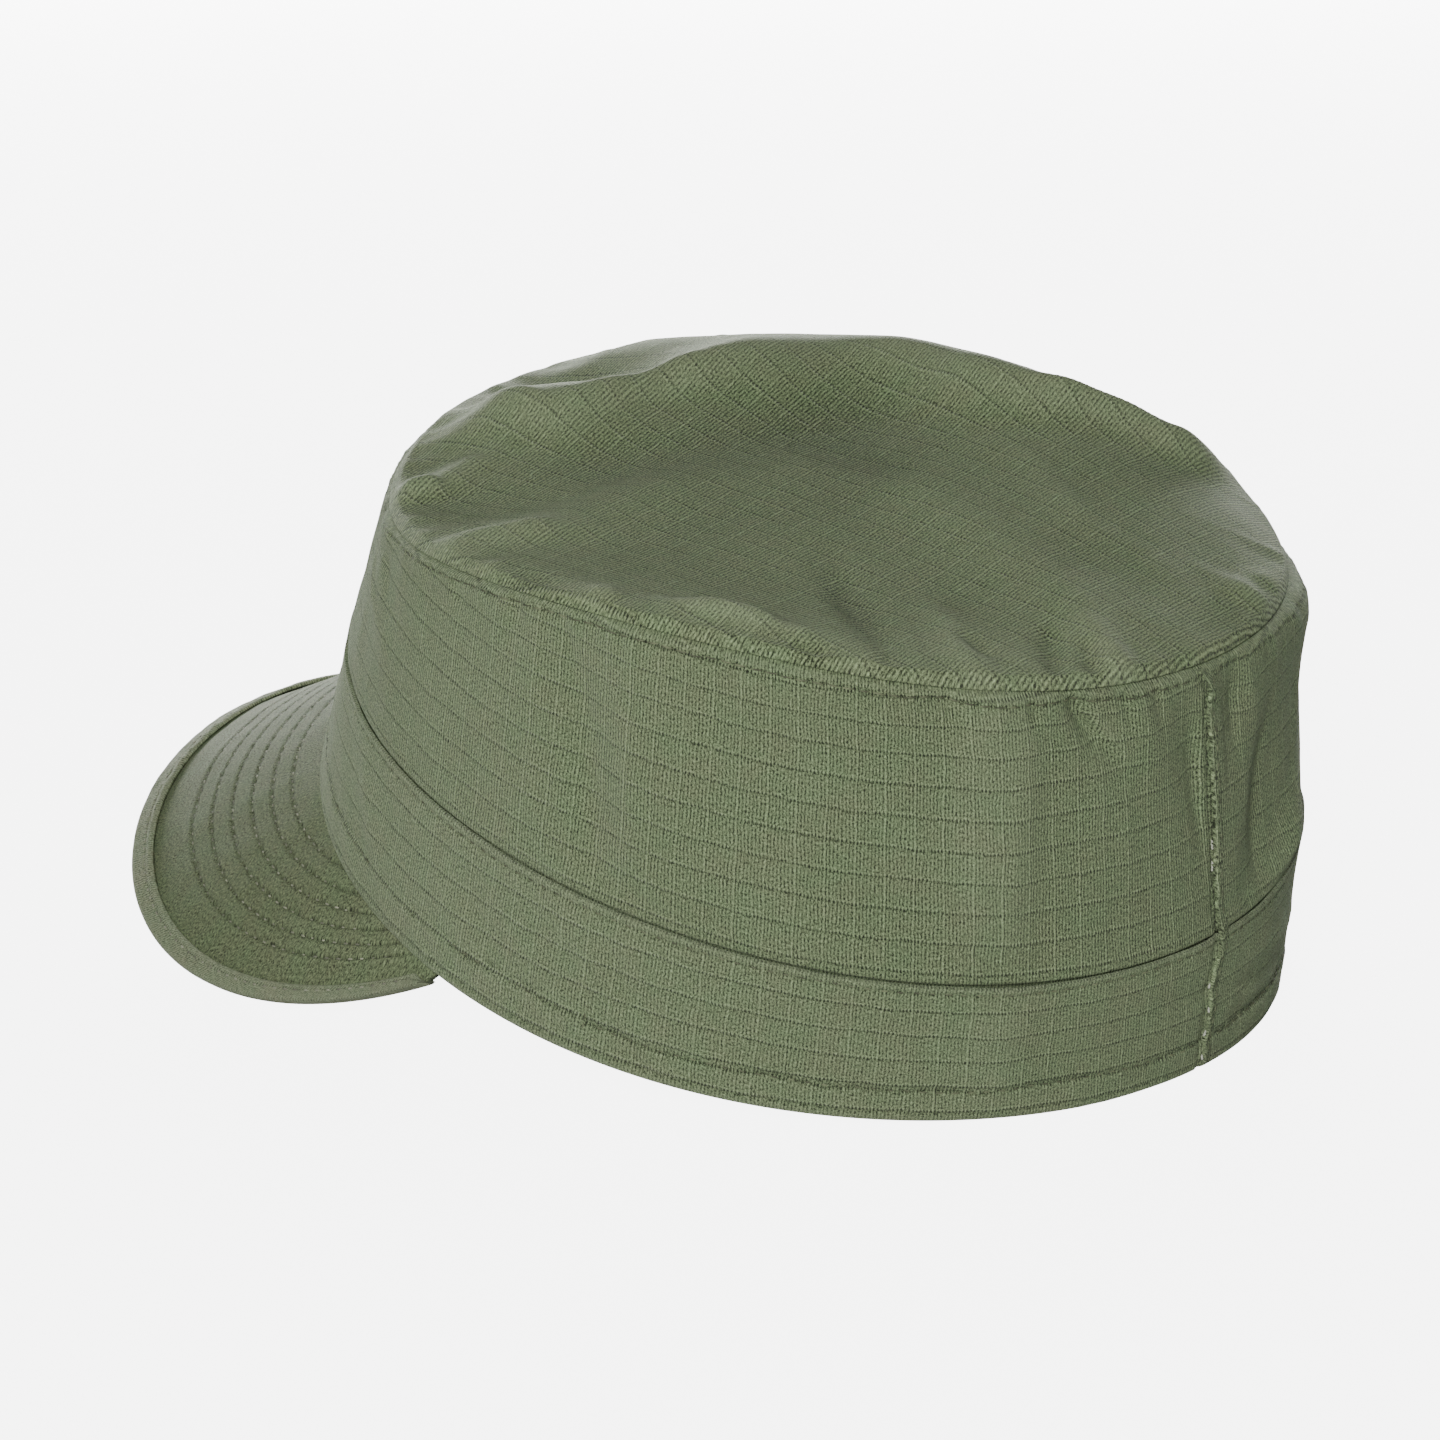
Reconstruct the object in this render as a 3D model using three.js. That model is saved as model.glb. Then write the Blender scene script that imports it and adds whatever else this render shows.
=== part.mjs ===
// Army field cap: soft ripstop crown, lower band, raised back seam and stitched peak with a bound edge.
// Millimetres, Z up. The peak points to -Y, the back seam is at +Y and the wearer's left is +X.
// The cap rests as it would by itself: on the back of its lower edge and on the two sides of its peak,
// which prop the front up.
import * as THREE from 'three';
import { mergeVertices } from 'three/addons/utils/BufferGeometryUtils.js';

// Cloth thicknesses and clearances
const CROWN_WALL = 1.6;
const BAND_WALL = 2.0;
const HEM_WIDTH = 4.2;
const HEM_HEIGHT = 5.0;
const GAP = 0.3;

// How the cap lies on the floor
const PITCH = THREE.MathUtils.degToRad(13.3);
const LIFT = 19.1;
const SHIFT_Y = 22.5;
const HEM_PRESSED = 0.9;

// Rings of the crown, in the cap's own level frame. Height is the mean; the others are its waves:
// back and left tilt the ring, saddle and twist repeat twice round it, back3 and left3 three times,
// and rightRise and frontRise lift the wearer's right side alone and the front's left.
const RIM = {
	halfLength: 101, halfWidth: 92.6, shiftX: 0, shiftY: 0,
	height: 0, back: 0, left: 0, saddle: -3.9, twist: 0, back3: 0, left3: 0, rightRise: 0, frontRise: 0,
};
const BAND_TOP = {
	halfLength: 97.6, halfWidth: 93.9, shiftX: 0, shiftY: -0.4,
	height: 32.4, back: -2.2, left: -3.0, saddle: -0.8, twist: 0, back3: 0, left3: 0.7, rightRise: 0, frontRise: 0,
};
const TOP_SEAM = {
	halfLength: 83.0, halfWidth: 89.5, shiftX: 2.6, shiftY: -4.1,
	height: 77.3, back: 8.3, left: 3.6, saddle: 0.5, twist: 3.2, back3: 0.5, left3: 2.6, rightRise: 8.0,
	frontRise: 4.1,
};

const RIGHT_SIDE = THREE.MathUtils.degToRad(184);
const RIGHT_SPREAD = THREE.MathUtils.degToRad(36);
const FRONT_SIDE = THREE.MathUtils.degToRad(-68);
const FRONT_SPREAD = THREE.MathUtils.degToRad(26);

// The side wall bulges out over the straight line from band to seam, most near the seam
const SHOULDER = 3.6;
const SHOULDER_GROWTH = 1.1;
const SHOULDER_TURN = 22;

// Levels of the side wall: where it comes out over the band, and where it turns down under the top seam
const OUT_FROM = 1.04;
const DOWN_FROM = 1.7;
const EASE_LEVELS = 0.3;
const HEIGHT_PAST_SEAM = 60;

// Folds fade out this near to the wall's lower and upper ends, as shares of its height
const FADE_LOW = 0.12;
const FADE_HIGH = 0.05;

// Soft folds of the side wall: angle in degrees (0 is the wearer's left, 90 the back), level from
// 1 at the band's top to 2 at the top seam, half-sizes of each, lift outwards and lean per level
const WALL_FOLDS = [
	{ angle: -33, level: 1.62, wide: 4, tall: 0.22, lift: 0.8, lean: -8 },
	{ angle: 9, level: 1.45, wide: 5, tall: 0.4, lift: -1.3, lean: -6 },
	{ angle: 19, level: 1.4, wide: 6, tall: 0.4, lift: 1.0, lean: -6 },
	{ angle: 52.5, level: 1.94, wide: 2.5, tall: 0.12, lift: -1.2, lean: -12 },
	{ angle: 71, level: 1.88, wide: 2.5, tall: 0.16, lift: -1.8, lean: -22 },
	{ angle: 79, level: 1.85, wide: 3, tall: 0.2, lift: 1.0, lean: -6 },
	{ angle: 87, level: 1.6, wide: 2.6, tall: 0.35, lift: -1.6, lean: -4 },
	{ angle: 96.5, level: 1.75, wide: 2.6, tall: 0.2, lift: -1.4, lean: 0 },
	{ angle: 104, level: 1.35, wide: 6, tall: 0.3, lift: -2.2, lean: 8 },
	{ angle: 112, level: 1.12, wide: 5, tall: 0.14, lift: 1.8, lean: 20 },
	{ angle: 124, level: 1.9, wide: 14, tall: 0.16, lift: 2.4, lean: 0 },
	{ angle: 150, level: 1.5, wide: 10, tall: 0.4, lift: -2.0, lean: 0 },
	{ angle: 205, level: 1.55, wide: 9, tall: 0.4, lift: -1.6, lean: 6 },
	{ angle: 240, level: 1.5, wide: 8, tall: 0.35, lift: -2.4, lean: -6 },
	{ angle: 270, level: 1.45, wide: 9, tall: 0.3, lift: 1.8, lean: 0 },
	{ angle: 297, level: 1.5, wide: 8, tall: 0.35, lift: -2.2, lean: 6 },
];

// The top panel: height of the dome over the seam and how it leans to one side, and its puffed edge
const DOME = 6;
const DOME_LEAN = 4.6;
const DOME_SIDE = THREE.MathUtils.degToRad(3);
const DOME_FALL = 3;
const EDGE_PUFF = 5.3;
const PUFF_TURN = 14;
const TOP_FADE = 0.16;

// Folds of the top panel: each runs from one point to another in the cap's own frame
const TOP_FOLDS = [
	{ fromX: 58, fromY: -60, toX: 10, toY: -58, wide: 8, lift: 2.0 },
	{ fromX: 8, fromY: -56, toX: -32, toY: -48, wide: 9, lift: 3.0 },
	{ fromX: 14, fromY: -76, toX: -24, toY: -64, wide: 7, lift: -2.2 },
	{ fromX: 56, fromY: -70, toX: 46, toY: -48, wide: 7, lift: -1.6 },
	{ fromX: 76, fromY: -36, toX: 40, toY: -34, wide: 8, lift: 1.8 },
	{ fromX: 50, fromY: -26, toX: 0, toY: -8, wide: 10, lift: -2.6 },
	{ fromX: 30, fromY: 14, toX: 54, toY: 46, wide: 8, lift: -3.0 },
	{ fromX: 24, fromY: 28, toX: 42, toY: 60, wide: 6, lift: 2.4 },
	{ fromX: -20, fromY: 8, toX: -20, toY: 58, wide: 9, lift: 3.6 },
	{ fromX: -22, fromY: 58, toX: -40, toY: 68, wide: 7, lift: 2.2 },
	{ fromX: -28, fromY: 26, toX: -48, toY: 60, wide: 8, lift: -2.8 },
	{ fromX: -42, fromY: -34, toX: -56, toY: 8, wide: 9, lift: 3.2 },
	{ fromX: -50, fromY: 4, toX: -68, toY: 40, wide: 10, lift: 5.6 },
	{ fromX: -30, fromY: -52, toX: -60, toY: -36, wide: 10, lift: -1.4 },
	{ fromX: -8, fromY: -30, toX: -26, toY: 4, wide: 9, lift: -2.4 },
];

// The peak, hung from the lower edge round the front
const PEAK_SPAN = THREE.MathUtils.degToRad(82.7);
const PEAK_LENGTH = 57;
const PEAK_SQUARENESS = 5.2;
const PEAK_CORNER = 0.95;
const PEAK_SLOPE = Math.tan(THREE.MathUtils.degToRad(37.5));
const PEAK_FLARE = 0.47;
const PEAK_SIDE_DROOP = 0.74;
const PEAK_WALL = 2.2;
const PEAK_REACH = 0.985;
const PEAK_TUCK = 2.0;
const PEAK_CLEARANCE = 0.45;
const PEAK_ROWS = 6;

// The binding folded round the peak's edge
const BINDING_FLAP = 6.5;
const BINDING_SHORT = 1.2;
const BINDING_WALL = 1.0;
const BINDING_ROUND = 0.8;
const BINDING_TIP = 0.15;

// The raised back seam: its levels, and how it wanders to each side on its way up
const SEAM_WIDTH = 3.2;
const SEAM_HEIGHT = 1.1;
const SEAM_NARROWING = 0.6;
const SEAM_LOWEST = 0.05;
const SEAM_HIGHEST = 1.985;
const SEAM_WANDER = THREE.MathUtils.degToRad(0.7);
const SEAM_WAVES = 5.2;
const SEAM_STEP_TOP = 1.1;
const SEAM_STEP = 0.06;

// Faceting
const COLUMNS = 80;
const PEAK_COLUMNS = 40;
const SEAM_ROWS = 26;

// Geometry helpers
const UP = new THREE.Vector3(0, 0, 1);

function bell(distance, halfSize) {
	return Math.exp(-((distance / halfSize) ** 2));
}

// The same angle within half a turn of zero
function turned(angle) {
	return angle - 2 * Math.PI * Math.round(angle / (2 * Math.PI));
}

function easeStep(value) {
	const t = THREE.MathUtils.clamp(value, 0, 1);
	return t * t * (3 - 2 * t);
}

// Turns a shape in the cap's own frame into the resting pose. Cloth lower than pressed lies on the floor,
// and the cloth just above it eases down to it.
function rest(point, pressed) {
	const settled = point.clone().applyAxisAngle(new THREE.Vector3(1, 0, 0), -PITCH);
	settled.y += SHIFT_Y;
	settled.z += LIFT;
	if (settled.z < 2 * pressed) settled.z = 2 * (settled.z - pressed);
	settled.z = Math.max(settled.z, 0);
	return settled;
}

// Moves each vertex of a three.js geometry to place(index), then merges it into one closed body
function closedBody(geometry, place, pressed = 0) {
	const moved = geometry.clone();
	moved.deleteAttribute('normal');
	moved.deleteAttribute('uv');
	const position = moved.getAttribute('position');
	for (let i = 0; i < position.count; i++) {
		const target = rest(place(i, new THREE.Vector3().fromBufferAttribute(position, i)), pressed);
		position.setXYZ(i, target.x, target.y, target.z);
	}
	const merged = mergeVertices(moved, 1e-3);
	const kept = [];
	let volume = 0;
	const corners = [new THREE.Vector3(), new THREE.Vector3(), new THREE.Vector3()];
	for (let f = 0; f < merged.index.count; f += 3) {
		const face = [0, 1, 2].map((k) => merged.index.getX(f + k));
		if (new Set(face).size < 3) continue;
		face.forEach((vertex, k) => corners[k].fromBufferAttribute(merged.getAttribute('position'), vertex));
		volume += corners[0].dot(corners[1].clone().cross(corners[2]));
		kept.push(face);
	}
	merged.setIndex((volume < 0 ? kept.map((face) => face.reverse()) : kept).flat());
	merged.computeVertexNormals();
	return merged;
}

// A closed ring or disc of cloth: profile rows give (level, depth) and surface(angle, level, depth) the place
function woundCloth(profile, surface, pressed = 0) {
	const points = profile.map((row) => new THREE.Vector2(row.axis ? 0 : 100 + row.depth, row.level));
	const lathe = new THREE.LatheGeometry(points, COLUMNS);
	return closedBody(lathe, (i) => {
		const column = Math.floor(i / points.length) % COLUMNS;
		const row = profile[i % points.length];
		return surface((column / COLUMNS) * 2 * Math.PI, row.level, row.depth);
	}, pressed);
}

// The inward side of a surface at a depth below it, from its slopes at that place
function beneath(surface, u, v, depth, stepU, stepV) {
	const point = surface(u, v);
	const alongU = surface(u + stepU, v).sub(surface(u - stepU, v));
	const alongV = surface(u, v + stepV).sub(surface(u, v - stepV));
	const normal = alongU.cross(alongV).normalize();
	return point.addScaledVector(normal, -depth);
}

// Rings and the wall between them
function ringPoint(ring, angle) {
	const sin = Math.sin(angle);
	const cos = Math.cos(angle);
	const tilt = ring.back * sin + ring.left * cos;
	const twice = ring.saddle * Math.cos(2 * angle) + ring.twist * Math.sin(2 * angle);
	const thrice = ring.back3 * Math.sin(3 * angle) + ring.left3 * Math.cos(3 * angle);
	const right = ring.rightRise * bell(turned(angle - RIGHT_SIDE), RIGHT_SPREAD);
	const front = ring.frontRise * bell(turned(angle - FRONT_SIDE), FRONT_SPREAD);
	return new THREE.Vector3(
		ring.shiftX + ring.halfWidth * cos,
		ring.shiftY + ring.halfLength * sin,
		ring.height + tilt + twice + thrice + right + front,
	);
}

function outward(angle) {
	return new THREE.Vector3(Math.cos(angle) / RIM.halfWidth, Math.sin(angle) / RIM.halfLength, 0).normalize();
}

function wallFolds(angle, level) {
	let lift = 0;
	for (const fold of WALL_FOLDS) {
		const middle = THREE.MathUtils.degToRad(fold.angle + fold.lean * (level - fold.level));
		const across = turned(angle - middle) / THREE.MathUtils.degToRad(fold.wide);
		lift += fold.lift * bell(across, 1) * bell(level - fold.level, fold.tall);
	}
	return lift;
}

// Level 0 is the lower edge, 1 the band's top and 2 the top seam
function wallPoint(angle, level) {
	const onBand = level <= 1;
	const rise = onBand ? level : level - 1;
	const low = ringPoint(onBand ? RIM : BAND_TOP, angle);
	const high = ringPoint(onBand ? BAND_TOP : TOP_SEAM, angle);
	const point = low.lerp(high, rise);
	if (onBand) return point;
	const shoulder = SHOULDER * rise ** SHOULDER_GROWTH * (1 - rise ** SHOULDER_TURN);
	const fade = easeStep(rise / FADE_LOW) * easeStep((1 - rise) / FADE_HIGH);
	return point.addScaledVector(outward(angle), shoulder + wallFolds(angle, level) * fade);
}

// The side wall is tucked behind the band and comes out over it above
function sidePoint(angle, level) {
	const tuck = (BAND_WALL + GAP) * (1 - easeStep((level - OUT_FROM) / EASE_LEVELS));
	const bounded = Math.min(level, 2);
	const drop = (CROWN_WALL + GAP) * easeStep((level - DOWN_FROM) / EASE_LEVELS);
	const overrun = Math.max(level - 2, 0) * HEIGHT_PAST_SEAM;
	return wallPoint(angle, bounded)
		.addScaledVector(outward(angle), -tuck)
		.addScaledVector(UP, overrun - drop);
}

// The top panel: reach 0 is its middle and 1 the seam
function topPoint(angle, reach) {
	const seam = ringPoint(TOP_SEAM, angle);
	const point = new THREE.Vector3(TOP_SEAM.shiftX, TOP_SEAM.shiftY, 0).lerp(seam, reach);
	point.z = THREE.MathUtils.lerp(TOP_SEAM.height, seam.z, reach ** 2);
	const dome = (DOME - DOME_LEAN * Math.cos(angle - DOME_SIDE) * reach) * (1 - reach ** DOME_FALL);
	const puff = EDGE_PUFF * (1 - reach ** PUFF_TURN);
	let folds = 0;
	for (const fold of TOP_FOLDS) {
		folds += fold.lift * foldShape(fold, point.x, point.y);
	}
	point.z += dome + puff + folds * easeStep((1 - reach) / TOP_FADE);
	return point;
}

// One along a fold's line, fading to nothing at its sides and ends
function foldShape(fold, x, y) {
	const alongX = fold.toX - fold.fromX;
	const alongY = fold.toY - fold.fromY;
	const length = Math.hypot(alongX, alongY);
	const along = ((x - fold.fromX) * alongX + (y - fold.fromY) * alongY) / length;
	const across = ((x - fold.fromX) * alongY - (y - fold.fromY) * alongX) / length;
	const past = Math.max(-along, along - length, 0);
	return bell(across, fold.wide) * bell(past, fold.wide * 1.5);
}

// The peak: place is -1 to 1 across it, distance runs from the cap's edge to the peak's own
function peakDirection(place) {
	return new THREE.Vector3(PEAK_FLARE * place, -1, -PEAK_SLOPE - PEAK_SIDE_DROOP * place ** 2).normalize();
}

function peakNormal(place) {
	const angle = place * PEAK_SPAN - Math.PI / 2;
	const step = 0.01;
	const along = ringPoint(RIM, angle + step).sub(ringPoint(RIM, angle - step));
	return along.cross(peakDirection(place)).normalize().negate();
}

// Columns lie closer together towards the corners, where the peak turns most
function peakPlace(share) {
	return PEAK_REACH * Math.sin((share - 0.5) * Math.PI);
}

function peakLength(place) {
	return PEAK_LENGTH * (1 - Math.abs(place) ** PEAK_SQUARENESS) ** PEAK_CORNER;
}

function peakPoint(place, distance, height) {
	const angle = place * PEAK_SPAN - Math.PI / 2;
	const normal = peakNormal(place);
	const drop = PEAK_CLEARANCE + 0.5 * PEAK_WALL * normal.z;
	return ringPoint(RIM, angle)
		.addScaledVector(outward(angle), -PEAK_TUCK)
		.addScaledVector(UP, -drop)
		.addScaledVector(peakDirection(place), distance)
		.addScaledVector(normal, height);
}

// Sub-parts
function makeBand() {
	const hem = HEM_HEIGHT / BAND_TOP.height;
	const profile = [
		{ level: 0, depth: HEM_WIDTH },
		{ level: 0, depth: 0 },
		{ level: 0.12, depth: 0 },
		{ level: 0.5, depth: 0 },
		{ level: 0.88, depth: 0 },
		{ level: 1, depth: 0.4 },
		{ level: 1, depth: BAND_WALL },
		{ level: 0.6, depth: BAND_WALL },
		{ level: hem, depth: BAND_WALL },
		{ level: hem, depth: HEM_WIDTH },
		{ level: 0, depth: HEM_WIDTH },
	];
	const surface = (angle, level, depth) => wallPoint(angle, level).addScaledVector(outward(angle), -depth);
	return woundCloth(profile, surface, HEM_PRESSED);
}

function makeCrownSide() {
	const levels = [1.06, 1.16, 1.3, 1.45, 1.6, 1.74, 1.86, 1.94, 1.98, 2];
	const foot = (HEM_HEIGHT + GAP) / BAND_TOP.height + 0.01;
	const outer = [foot, ...levels].map((level) => ({ level, depth: 0 }));
	const inner = [foot, ...levels].reverse().map((level) => ({ level, depth: CROWN_WALL }));
	return woundCloth([...outer, ...inner, outer[0]], (angle, level, depth) =>
		depth === 0 ? sidePoint(angle, level) : beneath(sidePoint, angle, level, depth, 0.01, 0.004));
}

function makeCrownTop() {
	const reaches = [0.16, 0.32, 0.47, 0.61, 0.73, 0.83, 0.91, 0.965, 1];
	const middle = { level: 0, depth: 0, axis: true };
	const outer = reaches.map((level) => ({ level, depth: 0 }));
	const inner = [...reaches].reverse().map((level) => ({ level, depth: CROWN_WALL }));
	const profile = [middle, ...outer, ...inner, { level: 0, depth: CROWN_WALL, axis: true }];
	return woundCloth(profile, (angle, level, depth) =>
		topPoint(level === 0 ? 0 : angle, level).addScaledVector(UP, -depth));
}

function makeBackSeam() {
	const strip = new THREE.BoxGeometry(1, 1, 1, 1, SEAM_ROWS, 1);
	const halfAngle = SEAM_WIDTH / 2 / RIM.halfWidth;
	return closedBody(strip, (i, corner) => {
		const level = THREE.MathUtils.lerp(SEAM_LOWEST, SEAM_HIGHEST, corner.y + 0.5);
		const wander = SEAM_WANDER * Math.sin(level * SEAM_WAVES);
		const narrowed = corner.z > 0 ? SEAM_NARROWING : 1;
		const angle = Math.PI / 2 + wander + 2 * corner.x * halfAngle * narrowed;
		const offset = GAP + (corner.z > 0 ? SEAM_HEIGHT : 0);
		if (level < 1) return wallPoint(angle, level).addScaledVector(outward(angle), offset);
		const clearBand = (BAND_WALL + GAP) * easeStep((SEAM_STEP_TOP - level) / SEAM_STEP);
		return sidePoint(angle, level).addScaledVector(outward(angle), offset + clearBand);
	});
}

function makePeak() {
	const plate = new THREE.BoxGeometry(1, 1, 1, PEAK_COLUMNS, PEAK_ROWS, 1);
	return closedBody(plate, (i, corner) => {
		const place = peakPlace(corner.x + 0.5);
		const length = peakLength(place) - BINDING_WALL - GAP;
		return peakPoint(place, (corner.y + 0.5) * length, corner.z * PEAK_WALL);
	});
}

function makePeakBinding() {
	const inner = PEAK_WALL / 2 + GAP;
	const outer = inner + BINDING_WALL;
	const section = new THREE.Shape([
		new THREE.Vector2(BINDING_FLAP, outer),
		new THREE.Vector2(BINDING_ROUND, outer),
		new THREE.Vector2(BINDING_TIP, outer - BINDING_ROUND),
		new THREE.Vector2(0, 0),
		new THREE.Vector2(BINDING_TIP, BINDING_ROUND - outer),
		new THREE.Vector2(BINDING_ROUND, -outer),
		new THREE.Vector2(BINDING_FLAP, -outer),
		new THREE.Vector2(BINDING_FLAP, -inner),
		new THREE.Vector2(BINDING_WALL, -inner),
		new THREE.Vector2(BINDING_WALL, inner),
		new THREE.Vector2(BINDING_FLAP, inner),
	]);
	const sweep = new THREE.ExtrudeGeometry(section, { depth: 1, steps: PEAK_COLUMNS, bevelEnabled: false });
	return closedBody(sweep, (i, corner) => {
		const place = peakPlace(corner.z);
		const length = peakLength(place);
		const flap = Math.min(BINDING_FLAP, length - PEAK_TUCK - BINDING_SHORT);
		const inward = corner.x > BINDING_WALL ? flap : corner.x;
		return peakPoint(place, length - inward, corner.y);
	});
}

// Materials, with the colours of each piece's cloth
function cloth(color, roughness) {
	return new THREE.MeshStandardMaterial({ color, roughness, metalness: 0 });
}

const pieces = [
	{ name: 'crown_top', geometry: makeCrownTop(), material: cloth(0x646b53, 0.92) },
	{ name: 'crown_side', geometry: makeCrownSide(), material: cloth(0x6f7a5f, 0.92) },
	{ name: 'band', geometry: makeBand(), material: cloth(0x737d62, 0.92) },
	{ name: 'back_seam', geometry: makeBackSeam(), material: cloth(0x6b745a, 0.94) },
	{ name: 'peak', geometry: makePeak(), material: cloth(0x6d745c, 0.92) },
	{ name: 'peak_binding', geometry: makePeakBinding(), material: cloth(0x7a836a, 0.9) },
];

const cap = new THREE.Group();
for (const piece of pieces) {
	const mesh = new THREE.Mesh(piece.geometry, piece.material);
	mesh.name = piece.name;
	cap.add(mesh);
}

export default cap;
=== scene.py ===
import math

import bpy
import numpy as np
from mathutils import Matrix


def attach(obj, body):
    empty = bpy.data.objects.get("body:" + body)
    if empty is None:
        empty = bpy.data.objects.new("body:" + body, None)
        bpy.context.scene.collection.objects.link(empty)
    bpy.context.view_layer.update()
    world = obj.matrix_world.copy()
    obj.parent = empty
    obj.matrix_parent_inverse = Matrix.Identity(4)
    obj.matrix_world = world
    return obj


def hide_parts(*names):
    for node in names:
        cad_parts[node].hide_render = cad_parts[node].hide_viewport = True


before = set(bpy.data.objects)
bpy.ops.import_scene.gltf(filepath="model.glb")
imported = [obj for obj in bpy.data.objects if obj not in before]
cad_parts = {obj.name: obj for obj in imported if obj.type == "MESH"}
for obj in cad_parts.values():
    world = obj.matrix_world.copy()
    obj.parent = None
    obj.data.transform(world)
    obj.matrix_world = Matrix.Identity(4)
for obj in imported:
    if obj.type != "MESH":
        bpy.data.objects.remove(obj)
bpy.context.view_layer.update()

# Lengths in the dictionaries are millimetres in the cap's own level frame, and angles are degrees:
# 0 is the wearer's left, 90 the back and -90 the front. rest() lays that frame on the floor in metres.
lying = {"pitch": 13.3, "lift": 19.1, "shiftY": 22.5, "lowest": 0.02}

# Each ring is an oval whose height changes round it. Its rises are local: height, angle and half-width
rim = {"halfLength": 101.0, "halfWidth": 92.6, "height": 0.0, "saddle": -3.9}
bandTop = {
    "halfLength": 97.6, "halfWidth": 93.9, "shiftY": -0.4, "height": 32.4,
    "back": -2.2, "left": -3.0, "saddle": -0.8, "left3": 0.7,
}
topSeam = {
    "halfLength": 83.0, "halfWidth": 89.5, "shiftX": 2.6, "shiftY": -4.1, "height": 77.3,
    "back": 8.3, "left": 3.6, "saddle": 0.5, "twist": 3.2, "back3": 0.5, "left3": 2.6,
    "rises": [(8.0, 184, 36), (4.1, -68, 26)],
}
mmPerDegree = 1.66     # along the middle of the side wall
mmPerLevel = 46.0      # from the band's top to the top seam
weaveStretch = 1.07    # the grid is a little closer round the cap than up it


def bell(distance, halfSize):
    return np.exp(-(distance / halfSize) ** 2)


def easeStep(value):
    t = np.clip(value, 0, 1)
    return t * t * (3 - 2 * t)


def turned(angle):
    return angle - 2 * np.pi * np.round(angle / (2 * np.pi))


def ringPoint(ring, angle):
    sin, cos = np.sin(angle), np.cos(angle)
    height = ring["height"] + ring.get("back", 0) * sin + ring.get("left", 0) * cos
    height = height + ring.get("saddle", 0) * np.cos(2 * angle) + ring.get("twist", 0) * np.sin(2 * angle)
    height = height + ring.get("back3", 0) * np.sin(3 * angle) + ring.get("left3", 0) * np.cos(3 * angle)
    for rise, middle, wide in ring.get("rises", []):
        height = height + rise * bell(turned(angle - math.radians(middle)), math.radians(wide))
    x = ring.get("shiftX", 0) + ring["halfWidth"] * cos
    y = ring.get("shiftY", 0) + ring["halfLength"] * sin
    return np.stack([x, y, height], -1)


def unit(vectors):
    return vectors / np.linalg.norm(vectors, axis=-1, keepdims=True)


def outward(angle):
    x, y = np.cos(angle) / rim["halfWidth"], np.sin(angle) / rim["halfLength"]
    return unit(np.stack([x, y, 0 * angle], -1))


def rest(points):
    pitch = math.radians(lying["pitch"])
    x, y, z = points[..., 0], points[..., 1], points[..., 2]
    settledY = y * math.cos(pitch) + z * math.sin(pitch) + lying["shiftY"]
    settledZ = -y * math.sin(pitch) + z * math.cos(pitch) + lying["lift"]
    return np.stack([x, settledY, np.maximum(settledZ, lying["lowest"])], -1) / 1000


def cloud(x, y, size, seed):
    # smooth noise from -1 to 1 with lumps of that size
    lattice = np.random.RandomState(seed).uniform(-1, 1, (64, 64))
    column, row = np.floor(x / size), np.floor(y / size)
    acrossShare, upShare = easeStep(x / size - column), easeStep(y / size - row)
    left, right = column.astype(int) % 64, (column.astype(int) + 1) % 64
    low, high = row.astype(int) % 64, (row.astype(int) + 1) % 64
    lower = lattice[low, left] * (1 - acrossShare) + lattice[low, right] * acrossShare
    upper = lattice[high, left] * (1 - acrossShare) + lattice[high, right] * acrossShare
    return lower * (1 - upShare) + upper * upShare


def lumps(x, y, layers):
    # layers of noise: height, size of the lumps, seed, lean of x with y, and stretch of y
    total = 0 * x
    for height, size, seed, lean, stretch in layers:
        total = total + height * cloud(x + lean * y, stretch * y, size, seed)
    return total


def besideLine(x, y, line):
    # the share along a line, the distance across it and the distance past its ends
    fromX, fromY, toX, toY = line
    alongX, alongY = toX - fromX, toY - fromY
    length = math.hypot(alongX, alongY)
    along = ((x - fromX) * alongX + (y - fromY) * alongY) / length
    across = ((x - fromX) * alongY - (y - fromY) * alongX) / length
    return along / length, across, np.maximum(np.maximum(-along, along - length), 0)


creasing = {"endHeight": 0.35, "endLength": 1.5}    # a crease's end is lower, and fades over some half-widths


def creaseHeight(x, y, crease):
    # a bowed line from one point to another, steeper on one side by its skew
    *line, bow, wide, lift, skew = crease
    share, across, past = besideLine(x, y, line)
    share = np.clip(share, 0, 1)
    across = across - 4 * bow * share * (1 - share)
    side = np.where(across > 0, 1 + skew, 1 - skew)
    taper = creasing["endHeight"] + (1 - creasing["endHeight"]) * easeStep(4 * share * (1 - share))
    return lift * taper * bell(across, wide * side) * bell(past, wide * creasing["endLength"])


def toDegrees(angle):
    return np.degrees(turned(angle - math.pi / 2)) + 90


def aroundCap(angle):
    return toDegrees(angle) * mmPerDegree


def ringCreases(around, up, creases, firstLevel, levelHeight):
    # creases whose ends are given by angle and level
    relief = 0 * around
    for fromAngle, fromLevel, toAngle, toLevel, *shape in creases:
        start = aroundCap(np.radians(fromAngle))
        end = start + (toAngle - fromAngle) * mmPerDegree
        line = (start, (fromLevel - firstLevel) * levelHeight, end, (toLevel - firstLevel) * levelHeight)
        relief = relief + creaseHeight(around, up, (*line, *shape))
    return relief


def stitchBeat(around, pitch, deep=0.4):
    # once for each stitch from 1 down by twice that depth and back
    return 1 - deep + deep * np.cos(2 * np.pi * around / pitch)


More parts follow.
